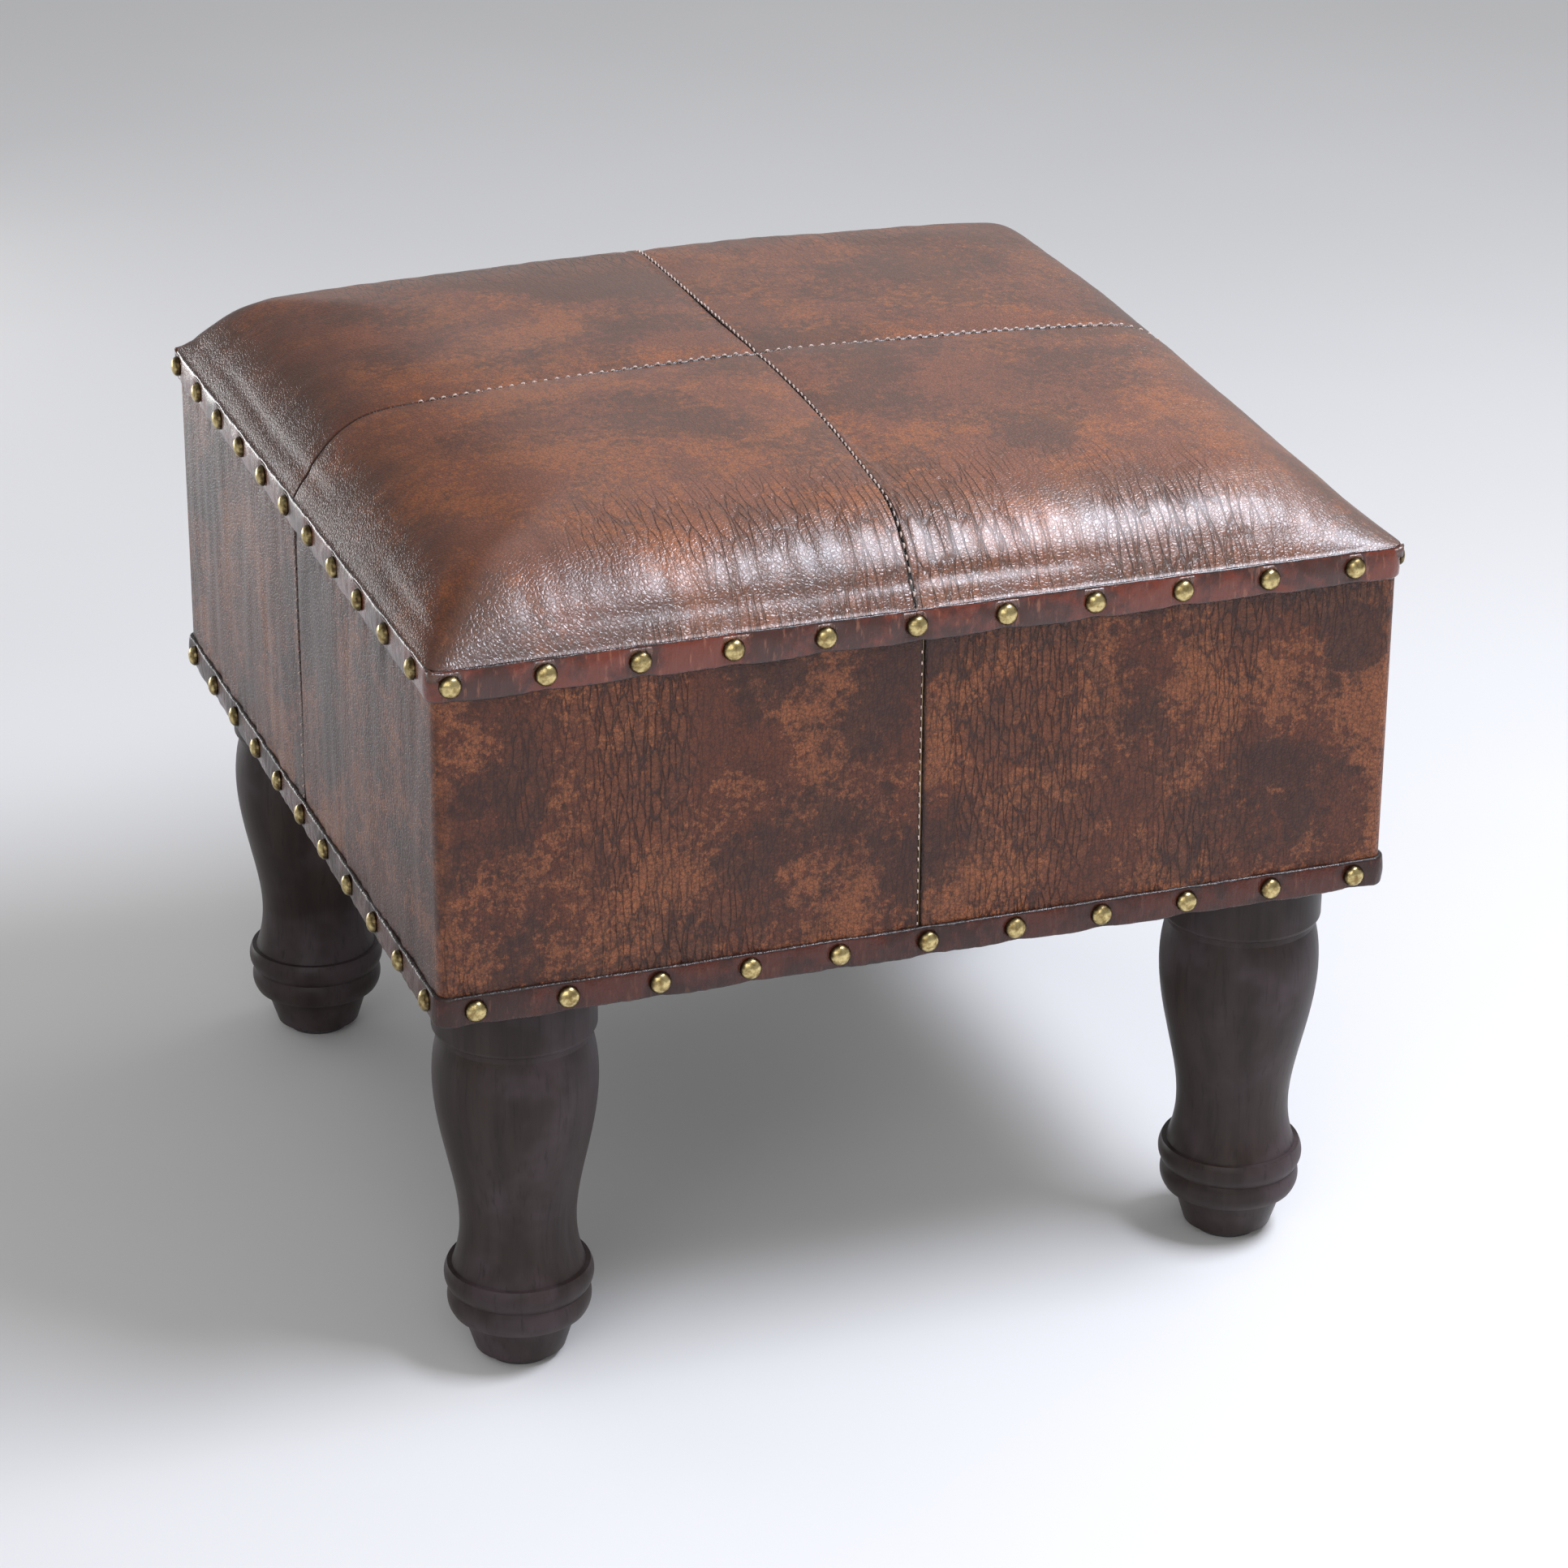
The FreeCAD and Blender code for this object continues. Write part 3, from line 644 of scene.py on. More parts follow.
def swollenSeat():
    # cloth blown up from inside, held at the rim and along the seams: its surface before and after
    form = paddedForm()
    remesh = form.modifiers.new("even", "REMESH")
    remesh.mode = "VOXEL"
    remesh.voxel_size = swelling["voxel"]
    settle(form)
    before = np.array([v.co[:] for v in form.data.vertices])
    hold = form.vertex_groups.new(name="hold")
    nearSeam = np.min(np.abs(before[:, :2]), axis=1) < swelling["voxel"] * 0.6
    held = np.flatnonzero(nearSeam | (before[:, 2] < bandTop + 0.002))
    hold.add(held.tolist(), 1.0, "REPLACE")
    settings = form.modifiers.new("swell", "CLOTH").settings
    settings.vertex_group_mass = "hold"
    settings.use_pressure = True
    settings.uniform_pressure_force = swelling["pressure"]
    settings.tension_stiffness = swelling["stiffness"]
    settings.compression_stiffness = swelling["stiffness"]
    settings.effector_weights.gravity = 0
    for number in range(1, swelling["frames"] + 1):
        scene.frame_set(number)
    settle(form)
    scene.frame_set(1)
    move = np.array([v.co[:] for v in form.data.vertices]) - before
    length = np.linalg.norm(move, axis=1, keepdims=True)
    kept = before + move * np.minimum(1, swelling["cap"] / np.maximum(length, 1e-9))
    polygons = [tuple(p.vertices) for p in form.data.polygons]
    print("seat swollen, most movement", float(np.max(np.minimum(length, swelling["cap"]))))
    bpy.data.objects.remove(form)
    return [BVHTree.FromPolygons(places.tolist(), polygons) for places in (before, kept)]


def heightOver(tree, x, y, missing):
    # height of a surface over the trim's top edge, straight down at each place
    found = np.full(x.shape, missing)
    for i in np.ndindex(x.shape):
        hit = tree.ray_cast(Vector((x[i], y[i], 0.4)), Vector((0, 0, -1)))[0]
        if hit is not None:
            found[i] = hit.z - bandTop
    return found


def evenOut(values, turns):
    for turn in range(turns):
        wide = np.pad(values, 1, mode="edge")
        values = (wide[:-2, 1:-1] + wide[2:, 1:-1] + wide[1:-1, :-2] + wide[1:-1, 2:] + 2 * values) / 6
    return values


def panelLines():
    # distances from the seam to the rim, closer together at both ends
    lines = [seamHalf, 0.0003, 0.0005, 0.0008, 0.0012, 0.0017, 0.0024, 0.0033, 0.0044]
    rim = coverFace - seat["rimZone"]
    count = int((rim - lines[-1]) / seat["step"])
    lines += list(lines[-1] + (rim - lines[-1]) * np.arange(1, count + 1) / count)
    lines += list(coverFace - seat["rimZone"] * (1 - np.linspace(0, 1, 16)[1:]) ** 1.15)
    return np.array(lines)


def gridNormals(points):
    normal = np.cross(np.gradient(points, axis=1), np.gradient(points, axis=0))
    return normal / np.maximum(np.linalg.norm(normal, axis=2, keepdims=True), 1e-12)


def panelHeight(name, x, y, height, edge, swollen):
    # the crown's height with the slow part of the swelling, never below the wadding and the leather
    if swollen is not None:
        swell = heightOver(swollen[1], x, y, 0.0) - heightOver(swollen[0], x, y, 0.0)
        swell = evenOut(np.maximum(swell, 0), swelling["evenTurns"])
        height = height + swell * smoothStep(edge, 0.004, 0.025)
    floorHeight = evenOut(heightOver(waddingTop, x, y, -0.01), swelling["floorTurns"]) + seat["clear"]
    print(name, "least height over the wadding", float(np.min(height - floorHeight)))
    return floorHeight + seat["ease"] * np.logaddexp(0, (height - floorHeight) / seat["ease"])


def panelRelief(flat, u, v, edge, number):
    # slow unevenness, folds across the roll, puckers at the seams and a soft tuck near the trim
    seam = np.minimum(u, v)
    onFront = np.abs(flat[:, 1]) > np.abs(flat[:, 0])
    soft = bumps(flat, (22, 22, 10), number * 3.1) * seat["uneven"] * smoothStep(edge, 0.0, 0.012)
    folds = np.where(onFront, bumps(flat, (170, 36, 36), number), bumps(flat, (36, 170, 36), number + 5))
    folds *= smoothStep(edge, 0.055, 0.015) * smoothStep(edge, 0.001, 0.008)
    folds *= np.where(onFront, seat["frontFolds"], seat["sideFolds"])
    puckers = np.where(u < v, bumps(flat, (60, 230, 60), 8.0), bumps(flat, (230, 60, 60), 9.0))
    puckers *= np.exp(-(seam / seat["puckerWidth"]) ** 2) * smoothStep(seam, 0.0004, 0.0015)
    tuckLine = seat["tuckPlace"] + seat["tuckSway"] * bumps(flat, (14, 14, 0), 2.0)
    tuck = np.exp(-((edge - tuckLine) / seat["tuckWidth"]) ** 2)
    tuck *= smoothStep(bumps(flat, (11, 11, 0), 6.5), -0.2, 0.35)
    return soft + folds + puckers * seat["puckers"] - tuck * seat["tuckDepth"]


def seatPanel(name, sx, sy, swollen, number):
    lines = panelLines()
    u, v = np.meshgrid(lines, lines)
    edge = coverFace - np.maximum(u, v)
    leanX, leanY = leanOf(sx * u, sy * v)
    squareX, squareY = sx * u + leanX, sy * v + leanY
    x, y = roundCorner(squareX, squareY)
    height = panelHeight(name, x, y, crownHeight(squareX, squareY), edge, swollen)
    # seams sink in, and the cut edges turn down
    for distance in (u, v):
        height -= seat["seamDip"] * np.exp(-(distance / seat["seamWidth"]) ** 2)
        height -= seat["lip"] * np.clip(1 - distance / seat["lipWidth"], 0, 1) ** 2
    points = np.stack([x, y, bandTop + height], axis=2)
    relief = panelRelief(points.reshape(-1, 3), u.ravel(), v.ravel(), edge.ravel(), number)
    points = points + gridNormals(points) * sx * sy * relief.reshape(u.shape)[..., None]
    # the roll hangs a little over the trim before it turns in behind it
    out = seat["overhang"] * np.exp(-(coverFace - np.stack([u, v], axis=2)) / seat["overhangWidth"])
    points[..., :2] += out * (sx, sy)
    points = points.reshape(-1, 3)
    size = len(lines)
    rim = [size * (size - 1) + i for i in range(size)]
    rim += [size * r + size - 1 for r in range(size - 2, -1, -1)]
    rows, loops, count = [points], [rim], size * size
    for depth, share in turnedIn:
        limit = coverFace + share * seat["overhang"]
        ring = points[rim].copy()
        ring[:, :2] = np.clip(ring[:, :2], -limit, limit)
        ring[:, 2] = bandTop - depth
        rows.append(ring)
        loops.append(list(range(count, count + len(rim))))
        count += len(rim)
    faces = gridFaces(size, size)
    for upper, lower in zip(loops, loops[1:]):
        faces += [(upper[i + 1], upper[i], lower[i], lower[i + 1]) for i in range(len(rim) - 1)]
    if sx * sy < 0:
        faces = [f[::-1] for f in faces]
    piece = meshPiece(name, np.concatenate(rows), faces, seatLeather)
    # how strongly the seam's painted shade falls on each point
    seam = np.zeros(len(piece.data.vertices))
    seam[:size * size] = np.exp(-np.minimum(u, v).ravel() / seat["seamShade"])
    addValue(piece, "seam", seam)
    thicken(piece, leatherThickness)
    addValue(piece, "cut", [number * 7.3] * len(piece.data.vertices))
    return piece


waddingTop = surfaceTree([nodes["wadding_layer"]])
swollen = swollenSeat()
seatPanels = {}
for number, (corner, (sx, sy)) in enumerate(corners.items()):
    panel = seatPanel("seatPanel" + titleOf(corner), sx, sy, swollen, number + 1)
    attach(panel, "root")
    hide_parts("seat_cover_" + corner)
    seatPanels[corner] = panel
print("seat panels laid")


# the side leather: four covers, each round one corner

sides = {"step": 0.0016, "top": bandTop - 0.0041, "foot": 0.0009, "bulge": 0.0006, "seamRoll": 0.0014,
         "seamWidth": 0.0013, "pucker": 0.0006, "lean": -0.0024, "seamShade": 0.0009,
         "creases": 0.00045, "waves": 0.0004}
# turned in under the frame: inset, and height above the body's foot
hem = ((0.0065, 0.0), (0.004, 0.0), (0.002, 0.0), (0.0008, 0.0), (0.00035, 0.00015), (0.0001, 0.0004))


def wallPath(step):
    # from the middle of one side round the corner to the middle of the next: x, y, outward normal
    # and distance from the nearer middle
    straight = coverFace - cornerRadius
    first = [seamHalf, 0.0004, 0.0008, 0.0013, 0.002, 0.003]
    count = int((straight - first[-1]) / step)
    along = first + list(first[-1] + (straight - first[-1]) * np.arange(1, count + 1) / count)
    path = [(s, -coverFace, 0.0, -1.0, s) for s in along]
    for i in range(1, 8):
        a = math.pi / 2 * i / 8
        nx, ny = math.sin(a), -math.cos(a)
        path.append((straight + cornerRadius * nx, -straight + cornerRadius * ny, nx, ny, coverFace))
    path += [(coverFace, -s, 1.0, 0.0, s) for s in reversed(along)]
    return np.array(path)


def wallRelief(flat, wall, number):
    # how far the leather stands out: between the bands it bulges and creases, at the seams it sinks
    z = flat[:, 2]
    edge = coverFace - wall
    rise = np.clip((z - bodyFoot) / (bandTop - bodyFoot), 0, 1)
    bulge = sides["bulge"] * np.sin(math.pi * rise) * np.sin(math.pi * np.clip(wall / coverFace, 0, 1))
    between = smoothStep(z, lowerTop - 0.001, lowerTop + 0.006)
    between = between * (1 - smoothStep(z, bandFoot - 0.006, bandFoot + 0.001))
    creases = bumps(flat, (120, 120, 26), number * 1.7) * sides["creases"]
    creases = (creases + bumps(flat, (30, 30, 16), number) * sides["waves"]) * between
    # puckers where the nails draw the edges of the trim in
    near = np.exp(-((z - bandFoot) / 0.006) ** 2) + np.exp(-((z - lowerTop) / 0.005) ** 2)
    pucker = bumps(flat, (210, 210, 40), 11.0) * near * sides["pucker"]
    total = bulge + creases * smoothStep(edge, 0.002, 0.02) + pucker * smoothStep(edge, 0.001, 0.01)
    total = total * smoothStep(z, bodyFoot + 0.0005, bodyFoot + 0.003)
    return total - sides["seamRoll"] * np.clip(1 - wall / sides["seamWidth"], 0, 1) ** 2


def sideCover(name, turn, number):
    path = wallPath(sides["step"])
    rows = []
    for inset, above in hem:
        limit = coverFace - inset
        rows.append([(min(x - inset * nx, limit), max(y - inset * ny, -limit), bodyFoot + above)
                     for x, y, nx, ny, s in path])
    foot = bodyFoot + sides["foot"]
    count = int((sides["top"] - foot) / sides["step"])
    for z in foot + (sides["top"] - foot) * np.arange(count + 1) / count:
        rows.append([(x, y, z) for x, y, nx, ny, s in path])
    points = np.array(rows)
    normals = np.zeros_like(points)
    normals[:, :, :2] = path[:, 2:4]
    cosine, sine = math.cos(math.radians(turn)), math.sin(math.radians(turn))
    spin = np.array([[cosine, -sine, 0], [sine, cosine, 0], [0, 0, 1]])
    points = points @ spin.T
    wall = np.tile(path[:, 4], len(rows))
    relief = wallRelief(points.reshape(-1, 3), wall, number)
    points = points + (normals @ spin.T) * relief.reshape(len(rows), -1)[..., None]
    # the front seam stands a little to the left
    front = points[..., 1] < -coverFace + 0.012
    lean = sides["lean"] * np.clip(1 - np.abs(points[..., 0]) / coverFace, 0, 1) ** 2
    points[..., 0] += np.where(front, lean, 0)
    piece = meshPiece(name, points.reshape(-1, 3), gridFaces(len(rows), len(path)), sideLeather)
    # how strongly the seam's painted shade falls on each point
    addValue(piece, "seam", np.exp(-wall / sides["seamShade"]))
    reshape(piece, lambda shape: bmesh.ops.remove_doubles(shape, verts=shape.verts, dist=0.00002))
    thicken(piece, leatherThickness)
    addValue(piece, "cut", [number * 5.9] * len(piece.data.vertices))
    return piece


turns = {"front_right": 0, "back_right": 90, "back_left": 180, "front_left": 270}
for number, (corner, turn) in enumerate(turns.items()):
    cover = sideCover("sideCover" + titleOf(corner), turn, number + 1)
    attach(cover, "root")
    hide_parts("side_cover_" + corner)
print("side covers wrapped")


# trees of geometry nodes

def startTree(name, inputs):
    tree = bpy.data.node_groups.new(name, "GeometryNodeTree")
    tree.interface.new_socket("Geometry", in_out="INPUT", socket_type="NodeSocketGeometry")
    for label, kind, value in inputs:
        socket = tree.interface.new_socket(label, in_out="INPUT", socket_type=kind)
        if value is not None:
            socket.default_value = value
    tree.interface.new_socket("Geometry", in_out="OUTPUT", socket_type="NodeSocketGeometry")
    return tree, tree.nodes.new("NodeGroupInput").outputs, tree.nodes.new("NodeGroupOutput").inputs


def runTree(piece, tree, values):
    modifier = piece.modifiers.new(tree.name, "NODES")
    modifier.node_group = tree
    for item in tree.interface.items_tree:
        if item.item_type == "SOCKET" and item.in_out == "INPUT" and item.name in values:
            modifier[item.identifier] = values[item.name]
    settle(piece)
    return piece


def makeScatterTree():
    # sets one made shape on each point, turned by the point's own directions
    tree, given, out = startTree("setOnPoints", [
        ("Shape", "NodeSocketObject", None), ("Finish", "NodeSocketMaterial", None),
        ("Size", "NodeSocketFloat", 1.0), ("Size Spread", "NodeSocketFloat", 0.0),
        ("Tilt", "NodeSocketFloat", 0.0), ("Seed", "NodeSocketInt", 1)])
    facing, running = (addNode(tree, "GeometryNodeInputNamedAttribute", {"Name": name},
                               data_type="FLOAT_VECTOR").outputs[0] for name in ("facing", "running"))
    up = nextTo("FunctionNodeAlignRotationToVector", {"Vector": facing}, axis="Z").outputs[0]
    along = nextTo("FunctionNodeAlignRotationToVector", {"Rotation": up, "Vector": running}, axis="X",
                   pivot_axis="Z").outputs[0]
    spread = given["Size Spread"]
    random = nextTo("FunctionNodeRandomValue", {"Seed": given["Seed"], 2: times(spread, -1.0), 3: spread},
                    data_type="FLOAT").outputs[1]
    tilts = [nextTo("ShaderNodeCombineXYZ", {0: tilt, 1: tilt, 2: tilt}).outputs[0]
             for tilt in (times(given["Tilt"], -1.0), given["Tilt"])]
    lean = nextTo("FunctionNodeRandomValue", {"Seed": given["Seed"], 0: tilts[0], 1: tilts[1]},
                  data_type="FLOAT_VECTOR").outputs[0]
    toTurn = nextTo("FunctionNodeEulerToRotation", {0: lean}).outputs[0]
    turned = nextTo("FunctionNodeRotateRotation", {0: along, 1: toTurn}, rotation_space="LOCAL").outputs[0]
    shape = nextTo("GeometryNodeObjectInfo", {"Object": given["Shape"]}).outputs["Geometry"]
    points = nextTo("GeometryNodeMeshToPoints", {"Mesh": given["Geometry"]}).outputs[0]
    placed = nextTo("GeometryNodeInstanceOnPoints", {
        "Points": points, "Instance": shape, "Rotation": turned,
        "Scale": plus(given["Size"], random)}).outputs[0]
    real = nextTo("GeometryNodeRealizeInstances", {"Geometry": placed}).outputs[0]
    painted = nextTo("GeometryNodeSetMaterial", {"Geometry": real, "Material": given["Finish"]}).outputs[0]
    plug(out["Geometry"], painted)
    return tree


setOnPoints = makeScatterTree()


def scatter(name, spots, shape, finish, **values):
    # spots: place, facing and running direction of each
    piece = meshPiece(name, [s[0] for s in spots], [], finish)
    for label, column in (("facing", 1), ("running", 2)):
        attribute = piece.data.attributes.new(label, "FLOAT_VECTOR", "POINT")
        attribute.data.foreach_set("vector", np.array([s[column] for s in spots], dtype=float).ravel())
    runTree(piece, setOnPoints, {"Shape": shape, "Finish": finish, **values})
    piece.data.polygons.foreach_set("use_smooth", [True] * len(piece.data.polygons))
    return piece


def spunShape(name, profile, count, finish):
    # a closed turned shape about Z; the profile runs from the lower pole to the upper one
    points = [(0, 0, profile[0][1])]
    faces = []
    for radius, z in profile[1:-1]:
        for i in range(count):
            a = 2 * math.pi * i / count
            points.append((radius * math.cos(a), radius * math.sin(a), z))
    top = len(points)
    points.append((0, 0, profile[-1][1]))
    following = [*range(1, count), 0]
    faces += [(0, 1 + j, 1 + i) for i, j in enumerate(following)]
    for start in range(1, top - count, count):
        faces += [(start + i, start + j, start + count + j, start + count + i)
                  for i, j in enumerate(following)]
    faces += [(top - count + i, top - count + j, top) for i, j in enumerate(following)]
    return meshPiece(name, points, faces, finish)


# trim bands: a strip swept round the body, wavy and gathered at its nails

trim = {"step": 0.0011, "corner": 0.005, "waves": 0.00028, "swell": 0.0005, "pinch": 0.0004,
        "pinchWidth": 0.0042, "scallop": 0.0006, "fine": 0.00022, "fray": 0.00022,
        "behind": 0.0004, "nails": 11}
around = ("front", "right", "back", "left")


def bandPath():
    # round the body: place on the trim's face and outward normal
    inner = trimFace - trim["corner"]
    path = []
    count = int(2 * inner / trim["step"])
    for turn in range(4):
        spin = Matrix.Rotation(math.pi / 2 * turn, 3, "Z")
        for i in range(count):
            path.append((spin @ Vector((-inner + 2 * inner * i / count, -trimFace, 0)),
                         spin @ Vector((0, -1, 0))))
        for i in range(8):
            t = math.pi / 2 * i / 8
            out = Vector((math.sin(t), -math.cos(t), 0))
            path.append((spin @ (Vector((inner, -inner, 0)) + out * trim["corner"]), spin @ out))
    return path

def nailRow(node):
    # places of one row, read from the CAD nails' own box
    low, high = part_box(node)
    side = node.rsplit("_", 1)[1]
    axis = 0 if side in ("front", "back") else 1
    radius = (high[2] - low[2]) / 2
    first, last = low[axis] + radius, high[axis] - radius
    level = (low[2] + high[2]) / 2
    out = {"front": (0, -1, 0), "right": (1, 0, 0), "back": (0, 1, 0), "left": (-1, 0, 0)}[side]
    spots = []
    for i in range(trim["nails"]):
        along = first + (last - first) * i / (trim["nails"] - 1)
        place = [out[0] * trimFace, out[1] * trimFace, level]
        place[axis] = along
        spots.append((Vector(place), Vector(out), radius))
    return spots


def trimBand(name, row, low, high, seed):
    path = bandPath()
    nails = np.array([s[0][:2] for side in around for s in nailRow(row + "_nails_" + side)])
    centre = np.array([p[0][:2] for p in path])
    gap = np.min(np.linalg.norm(centre[:, None, :] - nails[None, :, :], axis=2), axis=1)
    pinch = np.exp(-(gap / trim["pinchWidth"]) ** 2)
    # the strip's section, from the back at the top over the front to the back at the bottom: how far
    # out, how high, and whether it is free to swell
    deep = trimFace - coverFace
    inner = -deep - trim["behind"]
    profile = [(inner, 1.0, 0), (0.35, 1.0, 0), (0.75, 0.985, 1), (0.95, 0.955, 1)]
    profile += [(1.0, 1 - t, 1) for t in np.linspace(0.09, 0.91, 12)]
    profile += [(0.95, 0.045, 1), (0.75, 0.015, 1), (0.35, 0.0, 0), (inner, 0.0, 0)]
    points = []
    edge = []
    for out, share, free in profile:
        lowShare, highShare = max(0.0, 1 - share * 3), max(0.0, share * 3 - 2)
        face = -deep * (1 - out) if out > 0 else out
        arch = math.sin(math.pi * share)
        for (place, normal), drawn in zip(path, pinch):
            x, y = place.x, place.y
            wave = noise.noise(Vector((x * 75 + seed, y * 75, share))) * trim["waves"]
            fray = noise.noise(Vector((x * 420, y * 420 + seed, 0))) * trim["fray"]
            fine = noise.noise(Vector((x * 330 + seed, y * 330, share * 2.5))) * trim["fine"]
            drop = (wave * 1.5 + fray + (0.5 - drawn) * trim["scallop"]) * lowShare
            belly = arch * (trim["swell"] * (1 - drawn) - drawn * trim["pinch"])
            spot = place + normal * (face + (belly + fine) * free)
            points.append((spot.x, spot.y, low + (high - low) * share - drop + wave * 0.6 * highShare))
            edge.append(abs(share - 0.5) * 2)
    faces = []
    size = len(path)
    for r in range(len(profile)):
        following = (r + 1) % len(profile)
        for i in range(size):
            j = (i + 1) % size
            faces.append((r * size + i, following * size + i, following * size + j, r * size + j))
    piece = meshPiece(name, points, faces, bandLeather)
    addValue(piece, "edge", edge)
    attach(piece, "root")
    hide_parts(row + "_band")
    return piece


trimBand("upperTrimBand", "upper", bandFoot, bandTop, 3.0)
trimBand("lowerTrimBand", "lower", bodyFoot, lowerTop, 8.0)
print("trim bands nailed")


# nails

nail = {"dome": 0.0024, "rim": 0.0004, "shank": 0.00075, "length": 0.0102, "point": 0.003, "under": -0.0002,
        "inset": 0.985, "steps": 7, "count": 20}


def makeNail(radius):
    profile = [(0.0, -nail["length"]), (nail["shank"], -nail["length"] + nail["point"]),
               (nail["shank"], nail["under"]), (radius * 0.93, nail["under"]), (radius, 0.0001)]
    for i in range(nail["steps"] + 1):
        t = math.pi / 2 * i / nail["steps"]
        profile.append((radius * nail["inset"] * math.cos(t),
                        nail["rim"] + (nail["dome"] - nail["rim"]) * math.sin(t)))
    shape = spunShape("nailShape", profile, nail["count"], antiqueBrass)
    addValue(shape, "rim", [math.hypot(v.co.x, v.co.y) / radius for v in shape.data.vertices])
    return shape


for row in ("upper", "lower"):
    for side in around:
        node = row + "_nails_" + side
        spots = nailRow(node)
        shape = makeNail(spots[0][2])
        placed = [(p, out, Vector((0, 0, 1))) for p, out, radius in spots]
        heads = scatter(row + "Nails" + side.title(), placed, shape, antiqueBrass,
                        **{"Tilt": 0.06, "Seed": len(row) * 7 + len(side)})
        bpy.data.objects.remove(shape)
        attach(heads, "root")
        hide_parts(node)
print("nails driven")


# stitches along the seams

stitch = {"pitch": 0.0037, "length": 0.0017, "thick": 0.00064, "lift": 0.00016, "dip": 0.0007,
          "sideSize": 0.72, "sidePitch": 0.0035, "sink": -0.00022, "sideSink": -0.0001,
          "sideShift": 0.0008, "leftEnd": -0.112, "beside": 0.0012, "clear": 0.001, "samples": 1200}


def makeStitch(finish):
    # a short thread that dips into the leather at both ends
    points = []
    faces = []
    rings = 7
    count = 6
    for i in range(rings):
        t = i / (rings - 1)
        z = stitch["lift"] - stitch["dip"] * (2 * t - 1) ** 4
        r = stitch["thick"] / 2 * (0.55 + 0.45 * math.sin(math.pi * (0.12 + 0.76 * t)))
        for k in range(count):
            a = 2 * math.pi * k / count
            points.append(((t - 0.5) * stitch["length"], r * math.cos(a), z + r * math.sin(a)))
    for i in range(rings - 1):
        for k in range(count):
            a, b = i * count + k, i * count + (k + 1) % count
            faces.append((a, b, b + count, a + count))
    faces.append(tuple(range(count))[::-1])
    faces.append(tuple(range((rings - 1) * count, rings * count)))
    shape = meshPiece("stitchShape", points, faces, finish)
    reshape(shape, lambda box: bmesh.ops.recalc_face_normals(box, faces=box.faces))
    return shape


def alongSurface(tree, starts, toward, pitch):
    # drops a line of close points on to the surface and keeps one at each stitch
    found = []
    for start in starts:
        place, normal, _, _ = tree.ray_cast(start, toward)
        if place is not None:
            found.append((place, normal))
    spots = []
    walked = pitch * 0.5
    for (a, na), (b, nb) in zip(found, found[1:]):
        length = (b - a).length
        while walked < length:
            t = walked / length
            spots.append((a.lerp(b, t), na.lerp(nb, t).normalized(), (b - a).normalized()))
            walked += pitch
        walked -= length
    return spots


onSeat = surfaceTree(seatPanels.values())
seatStitch = makeStitch(paleThread)
reach = coverFace - 0.0006
spots = []
# the height is read from the panel beside the seam, and the stitch then set back on to the seam
for step, back in (((1, 0), Vector((0, -stitch["beside"], 0))), ((0, 1), Vector((-stitch["beside"], 0, 0)))):
    starts = []
    for s in np.linspace(-reach, reach, stitch["samples"]):
        x, y = s * step[0], s * step[1]
        leanX, leanY = leanOf(np.array(x), np.array(y))
        starts.append(Vector((x + float(leanX) + stitch["beside"] * step[1],
                              y + float(leanY) + stitch["beside"] * step[0], 0.4)))
    found = alongSurface(onSeat, starts, Vector((0, 0, -1)), stitch["pitch"])
    # none on the left roll, where the photo shows none
    spots += [(p + back - n * stitch["sink"], n, r) for p, n, r in found if p.x > stitch["leftEnd"]]
seatStitches = scatter("seatStitches", spots, seatStitch, paleThread,
                       **{"Size Spread": 0.08, "Tilt": 0.08, "Seed": 5})
bpy.data.objects.remove(seatStitch)
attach(seatStitches, "root")

sideStitch = makeStitch(paleThread)
spots = []
for turn in range(4):
    spin = Matrix.Rotation(math.pi / 2 * turn, 3, "Z")
    lean = sides["lean"] if turn == 0 else 0.0
    for z in np.arange(lowerTop + stitch["clear"], bandFoot - stitch["clear"], stitch["sidePitch"]):
        place = spin @ Vector((lean - stitch["sideShift"], -coverFace + stitch["sideSink"], z))
        spots.append((place, spin @ Vector((0, -1, 0)), Vector((0, 0, 1))))
sideStitches = scatter("sideStitches", spots, sideStitch, paleThread,
                       **{"Size": stitch["sideSize"], "Size Spread": 0.08, "Tilt": 0.1, "Seed": 6})
bpy.data.objects.remove(sideStitch)
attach(sideStitches, "root")
print("seams stitched")


# the dust cover: thin cloth under the body, slack between its staples

dust = {"step": 0.005, "sag": 0.0015, "thick": 0.0004, "legRadius": 0.0262, "below": 0.0001}


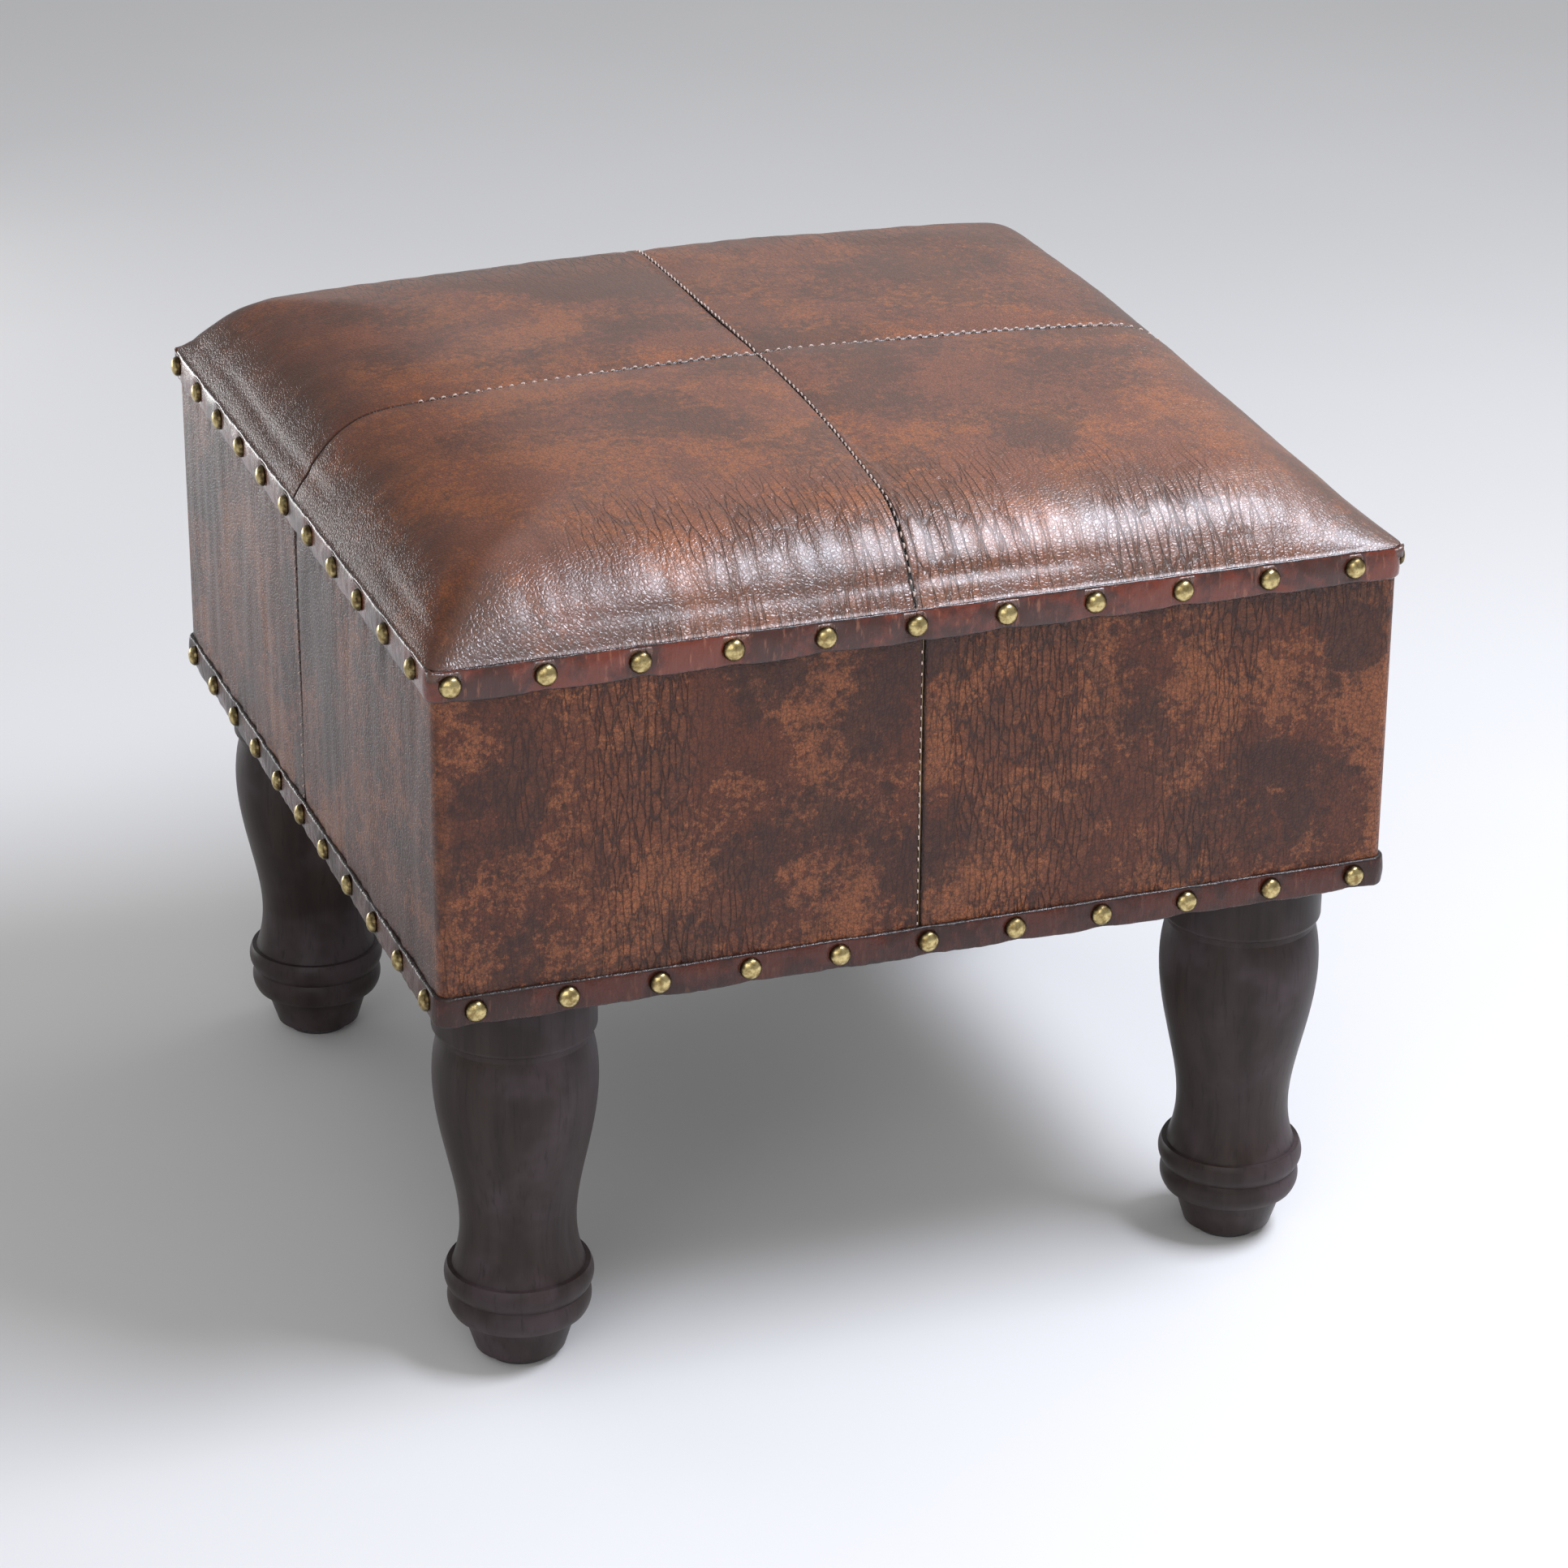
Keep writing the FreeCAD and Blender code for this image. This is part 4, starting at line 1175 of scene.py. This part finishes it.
def dustSheet():
    low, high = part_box("dust_cover")
    half = high[0]
    count = int(2 * half / dust["step"])
    line = np.linspace(-half, half, count + 1)
    shape = bmesh.new()
    grid = [[shape.verts.new((x, y, low[2])) for x in line] for y in line]
    for r in range(count):
        for c in range(count):
            shape.faces.new((grid[r][c], grid[r + 1][c], grid[r + 1][c + 1], grid[r][c + 1]))
    # cut round the legs
    for sx, sy in corners.values():
        centre = Vector((sx * legAxis, sy * legAxis))
        for vert in list(shape.verts):
            away = vert.co.xy - centre
            if away.length < dust["legRadius"] - dust["step"] * 0.45:
                shape.verts.remove(vert)
            elif away.length < dust["legRadius"] + dust["step"] * 0.5:
                vert.co.xy = centre + away.normalized() * dust["legRadius"]
    for vert in shape.verts:
        x, y = vert.co.x / half, vert.co.y / half
        slack = (1 - x * x) * (1 - y * y)
        ripple = noise.noise(Vector((vert.co.x * 18, vert.co.y * 18, 4.0)))
        vert.co.z = low[2] - dust["below"] - dust["sag"] * slack * (0.7 + 0.3 * ripple)
    mesh = bpy.data.meshes.new("dustSheet")
    shape.to_mesh(mesh)
    shape.free()
    piece = linkPiece("dustSheet", mesh, dustCloth)
    area = sum(p.area for p in mesh.polygons)
    thicken(piece, dust["thick"])
    return piece, half, area


cloth, clothHalf, clothArea = dustSheet()
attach(cloth, "root")
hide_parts("dust_cover")
print("dust cover stapled")


# floor, light and camera

stageSet = {"floor": (0.80, 0.79, 0.78), "floorHalf": 6, "lens": 110.22, "sensor": 36, "yaw": 20.24,
            "pitch": 23.65, "roll": 0.35, "camera": (-0.4892, -1.3539, 0.7534)}
# place, target, size, power and colour of each lamp
lamps = {"window": ((0.95, 0.35, 1.25), (0, 0, 0.2), (0.8, 0.8), 2.5, (1, 1, 1)),
         "above": ((0.56, -0.42, 1.2), (0.05, -0.12, 0.25), (0.75, 0.30), 18, (0.84, 0.88, 1.0)),
         "front": ((-0.9, -1.6, 1.1), (0, 0, 0.15), (1.6, 1.2), 11, (1, 1, 1)),
         "low": ((-0.55, 1.05, 0.10), (-0.15, 0.0, 0.15), (0.6, 0.16), 2.2, (1, 1, 1))}


def makeFloor():
    material, shader, place = startMaterial("paleFloor")
    mottle = ramp(noiseOf(place, 3.0, 3.0, 0.5), 0.3, 0.7)
    tone = blendColour(mottle, stageSet["floor"], dimmed(stageSet["floor"], 0.97))
    plugAll(shader, {"Roughness": 0.9, "Base Color": tone})
    half = stageSet["floorHalf"]
    floor = meshPiece("paleFloor", [(-half, -half, 0), (half, -half, 0), (half, half, 0), (-half, half, 0)],
                      [(0, 1, 2, 3)], material)


def areaLight(name, place, target, size, power, colour):
    data = bpy.data.lights.new(name, "AREA")
    data.shape = "RECTANGLE"
    data.size, data.size_y = size
    data.energy = power
    data.color = colour
    lamp = bpy.data.objects.new(name, data)
    scene.collection.objects.link(lamp)
    lamp.location = place
    lamp.rotation_euler = (Vector(target) - Vector(place)).to_track_quat("-Z", "Y").to_euler()


def makeCamera():
    data = bpy.data.cameras.new("camera")
    data.lens = stageSet["lens"]
    data.sensor_width = stageSet["sensor"]
    data.clip_start, data.clip_end = 0.05, 50
    camera = bpy.data.objects.new("camera", data)
    scene.collection.objects.link(camera)
    yaw, pitch, roll = (math.radians(stageSet[k]) for k in ("yaw", "pitch", "roll"))
    ahead = Vector((math.sin(yaw) * math.cos(pitch), math.cos(yaw) * math.cos(pitch), -math.sin(pitch)))
    right = Vector((math.cos(yaw), -math.sin(yaw), 0))
    up = right.cross(ahead)
    tilted = right * math.cos(roll) + up * math.sin(roll)
    upright = up * math.cos(roll) - right * math.sin(roll)
    turn = Matrix((tilted, upright, -ahead)).transposed()
    camera.matrix_world = Matrix.Translation(stageSet["camera"]) @ turn.to_4x4()
    scene.camera = camera


makeFloor()
for lampName, settings in lamps.items():
    areaLight(lampName, *settings)
makeCamera()
world = bpy.data.worlds.new("studio")
scene.world = world
world.use_nodes = True
back = world.node_tree.nodes["Background"]
back.inputs["Color"].default_value = (0.93, 0.94, 0.96, 1)
back.inputs["Strength"].default_value = 0.42
scene.view_settings.view_transform = "Standard"
